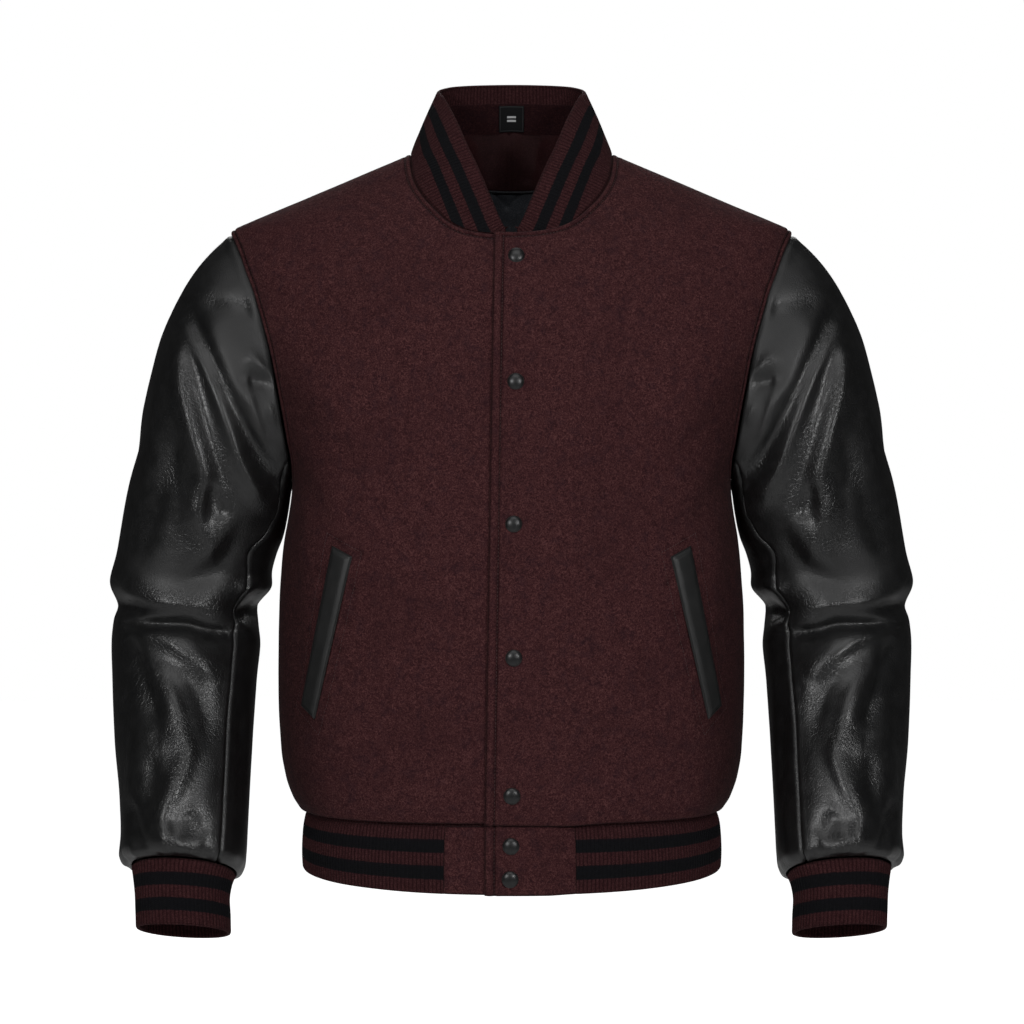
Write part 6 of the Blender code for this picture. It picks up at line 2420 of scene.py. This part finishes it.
@dataclass(frozen=True)
class LabelFinish:
    """A woven label: a plain ground, a woven border and two short bars."""

    name: str
    ground: Colour
    bar: Colour

    def make(self, effects: Effects) -> Material:
        """Build the material."""
        pad = new_finish(self.name)
        flat = pad.flat_place()
        split = pad.split(flat)
        across = pad.math("ABSOLUTE", split.outputs[0])
        up = split.outputs[1]
        wide = pad.ramp(across, 4.4 * MM, 4.1 * MM)
        bars = None
        for middle in (1.5 * MM, -1.9 * MM):
            line = pad.ramp(pad.math("ABSOLUTE", pad.minus(up, middle)), 1.05 * MM, 0.85 * MM)
            bars = line if bars is None else pad.plus(bars, line)
        mask = pad.times(wide, bars)
        edge = pad.math("MAXIMUM", across, pad.math("ABSOLUTE", up))
        border = pad.ramp(pad.math("ABSOLUTE", pad.minus(edge, LABEL_HALF - 1.1 * MM)),
                          0.45 * MM, 0.25 * MM)
        weave = pad.group(effects.weave, {"Place": flat, "Threads a metre": 2200.0})[0]
        tone = pad.mix(pad.times(weave, 0.4), self.ground, toned(self.ground, 0.4))
        tone = pad.mix(pad.times(border, 0.05), tone, self.bar)
        tone = pad.mix(mask, tone, self.bar)
        height = pad.plus(weave, pad.times(mask, 1.5))
        bump = pad.bump(0.3, 0.2 * MM, height)
        rough = pad.minus(0.7, pad.times(mask, 0.15))
        return shaded(pad, {"Base Color": tone, "Roughness": rough, "Normal": bump,
                            "Specular IOR Level": 0.12})


# ------------------------------------------------------------------ studio
@dataclass(frozen=True)
class SoftLight:
    """One soft box light."""

    name: str
    place: tuple[float, float, float]
    aim: tuple[float, float, float]
    size: tuple[float, float]
    power: float

    def build(self) -> None:
        """Hang the light."""
        data = bpy.data.lights.new(self.name, "AREA")
        data.shape = "RECTANGLE"
        data.size, data.size_y = self.size
        data.energy = self.power
        lamp = linked(self.name, data)
        lamp.location = self.place
        lamp.rotation_euler = (Vector(self.aim) - Vector(self.place)).to_track_quat(
            "-Z", "Y").to_euler()


@dataclass(frozen=True)
class Studio:
    """Camera, plain pale floor, soft light and a pale surround."""

    camera_place: tuple[float, float, float] = (0.0005, -2.1, -0.3356)
    lens: float = 78.5
    floor: float = -1.25
    surround: float = 0.025
    lights: tuple[SoftLight, ...] = (
        SoftLight("key_left", (-1.0, -2.1, 0.12), (0.0, 0.0, -0.33), (0.42, 0.38), 13.0),
        SoftLight("key_right", (1.0, -2.1, 0.12), (0.0, 0.0, -0.33), (0.42, 0.38), 13.0),
        SoftLight("high", (0.0, -1.5, 1.42), (0.0, 0.0, -0.2), (1.6, 1.2), 11.0),
        SoftLight("side_left", (-1.3, -2.0, 0.5), (0.0, 0.0, -0.35), (0.5, 0.9), 1.0),
        SoftLight("side_right", (1.3, -2.0, 0.5), (0.0, 0.0, -0.35), (0.5, 0.9), 1.0),
        SoftLight("top", (0.0, 0.2, 1.8), (0.0, 0.0, -0.2), (1.4, 0.8), 4.0),
        SoftLight("back", (0.0, 2.4, 1.2), (0.0, 0.0, -0.3), (2.0, 1.4), 30.0),
    )

    def build(self) -> None:
        """Set the studio up."""
        scene = bpy.context.scene
        camera = bpy.data.cameras.new("front_view")
        camera.lens = self.lens
        camera.sensor_width = 36.0
        holder = linked("front_view", camera)
        holder.location = self.camera_place
        holder.rotation_euler = (math.pi / 2, 0.0, 0.0)
        scene.camera = holder
        for light in self.lights:
            light.build()
        world = bpy.data.worlds.new("pale_surround")
        world.use_nodes = True
        pad = NodePad(world.node_tree)
        shade = world.node_tree.nodes["Background"]
        level = pad.plus(self.surround, pad.times(pad.seen(), 1.0 - self.surround))
        shade.inputs["Color"].default_value = (1.0, 1.0, 1.0, 1.0)
        pad.tree.links.new(level, shade.inputs["Strength"])
        scene.world = world
        scene.view_settings.view_transform = "Standard"
        scene.view_settings.look = "None"
        self.build_floor()

    def build_floor(self) -> None:
        """Lay the plain pale floor."""
        turns = np.arange(64) * 2 * math.pi / 64
        points = np.stack([9 * np.cos(turns), 9 * np.sin(turns), 0 * turns + self.floor], -1)
        mesh = bpy.data.meshes.new("floor")
        mesh.from_pydata(points.tolist(), [], [tuple(range(64))])
        floor = linked("floor", mesh)
        pad = new_finish("pale_floor")
        tone = pad.mix(pad.noise(pad.place(), 3.0), (0.90, 0.90, 0.90), (0.94, 0.94, 0.94))
        floor.data.materials.append(shaded(pad, {
            "Base Color": tone, "Roughness": 0.8, "Emission Color": (1.0, 1.0, 1.0),
            "Emission Strength": pad.seen()}))


# ------------------------------------------------------------------ the whole
MAROON = (0.0524, 0.0180, 0.0190)
MAROON_FLECK = (0.0932, 0.0349, 0.0349)
MAROON_DARK = (0.0277, 0.0096, 0.0111)

WOOL = WoolFinish("melton_wool", MAROON, MAROON_FLECK, MAROON_DARK)
FACING_WOOL = WoolFinish("facing_wool", (0.0187, 0.0061, 0.0070), (0.0295, 0.0107, 0.0107),
                         (0.0121, 0.0043, 0.0054), (0.0147, 0.0061, 0.0080))
LEATHER = LeatherFinish("grained_leather", (0.0078, 0.0079, 0.0081), (0.0125, 0.0125, 0.0127))
WELT_LEATHER = LeatherFinish("welt_leather", (0.0060, 0.0062, 0.0062), (0.010, 0.010, 0.010),
                             grain=900.0, roughness=0.50, bump=0.22)
# ground, fleck and stripe of the rib
RIB_YARNS = ((0.0279, 0.0094, 0.0107), (0.0676, 0.0247, 0.0260), (0.0058, 0.0058, 0.0068))
COLLAR_RIB = RibFinish("collar_rib", *RIB_YARNS, ((0.0130, 0.0230), (0.0326, 0.0420)))
CUFF_RIB = RibFinish("cuff_rib", *RIB_YARNS, ((0.0125, 0.0240), (0.0350, 0.0465)))
BAND_RIB = RibFinish("waistband_knit", *RIB_YARNS, ((0.0132, 0.0256), (0.0370, 0.0490)))
SNAP_ENAMEL = EnamelFinish("snap_enamel", (0.006, 0.006, 0.0065), (0.060, 0.056, 0.052))
LABEL_TAPE = LabelFinish("label_tape", (0.0060, 0.0062, 0.0070), (0.42, 0.42, 0.43))
YOKE_SATIN = WovenFinish("yoke_satin", (0.0169, 0.0047, 0.0052), (0.0286, 0.0088, 0.0094),
                         slant=0.5, gloss=0.07)
BLACK_SATIN = WovenFinish("black_satin", (0.0345, 0.0369, 0.0429), (0.0615, 0.0653, 0.0768),
                          slant=0.5, roughness=0.55, gloss=0.2)
PIPING_TAPE = WovenFinish("piping_tape", (0.0262, 0.0269, 0.0306), (0.0495, 0.0510, 0.0553),
                          threads=2400.0, roughness=0.55)
MAROON_THREAD = ThreadFinish("maroon_thread", (0.0262, 0.0091, 0.0099), (0.0408, 0.0146, 0.0153))


def main() -> None:
    """Build the jacket piece by piece, then the studio."""
    effects = Effects()
    wool = WOOL.make(effects)
    leather = LEATHER.make()
    ribs, stitches, caps = rib_knit_tree(), stitch_row_tree(), snap_set_tree()
    cloths: dict[str, Piece] = {}

    form = BodyForm()
    pockets = Pockets(form)
    ring, ring_out = pockets.ring()
    body = Body(form, pocket_ring=ring)
    cloths |= body.build()
    body.dress(cloths, wool)

    sleeves = Sleeves(SleeveForm(), form)
    made = sleeves.build()
    sleeves.dress(made, leather)
    cloths |= made

    cuffs = Cuffs(CuffForm())
    cuffs.dress(cuffs.build(ribs, CUFF_RIB.make(effects)))

    neck = Neck(CollarForm(), form)
    collar = neck.build_collar(ribs, COLLAR_RIB.make(effects))
    settle(collar, None, ("collar",))
    facing = neck.build_facing()
    settle(facing, FACING_WOOL.make(effects), ("back_neck_facing",))
    label = neck.build_label()
    settle(label, LABEL_TAPE.make(effects), ("label",))
    lining = NeckLining().build(neck.facing_grid()[0][-1])
    settle(lining["lining_yoke"], YOKE_SATIN.make(effects), ("lining_yoke",))
    settle(lining["lining_lower"], BLACK_SATIN.make(effects), ("lining_lower",))
    settle(lining["lining_piping"], PIPING_TAPE.make(effects), ("lining_piping",))

    band = Waistband(BandForm())
    rib = band.build_rib(ribs, BAND_RIB.make(effects))
    tabs = {side: band.build_tab(side) for side in ("left", "right")}
    band.dress(rib, tabs, wool)
    cloths |= {"waistband_tab_" + side: piece for side, piece in tabs.items()}

    pockets.dress(pockets.build(), WELT_LEATHER.make())
    snaps = Snaps()
    snaps.dress(snaps.build(caps, SNAP_ENAMEL.make(),
                            (cloths["front_left"], cloths["waistband_tab_left"])))

    pocket_line = SewnLine(ring, ring_out, "front_left")
    lines = [*body.lines.values(), *band.lines.values(), pocket_line,
             pocket_line.flipped("front_right")]
    Topstitching("wool_stitches", "maroon_wool").build(stitches, MAROON_THREAD.make(), lines,
                                                       cloths)
    Studio().build()


if __name__ == "__main__":
    main()
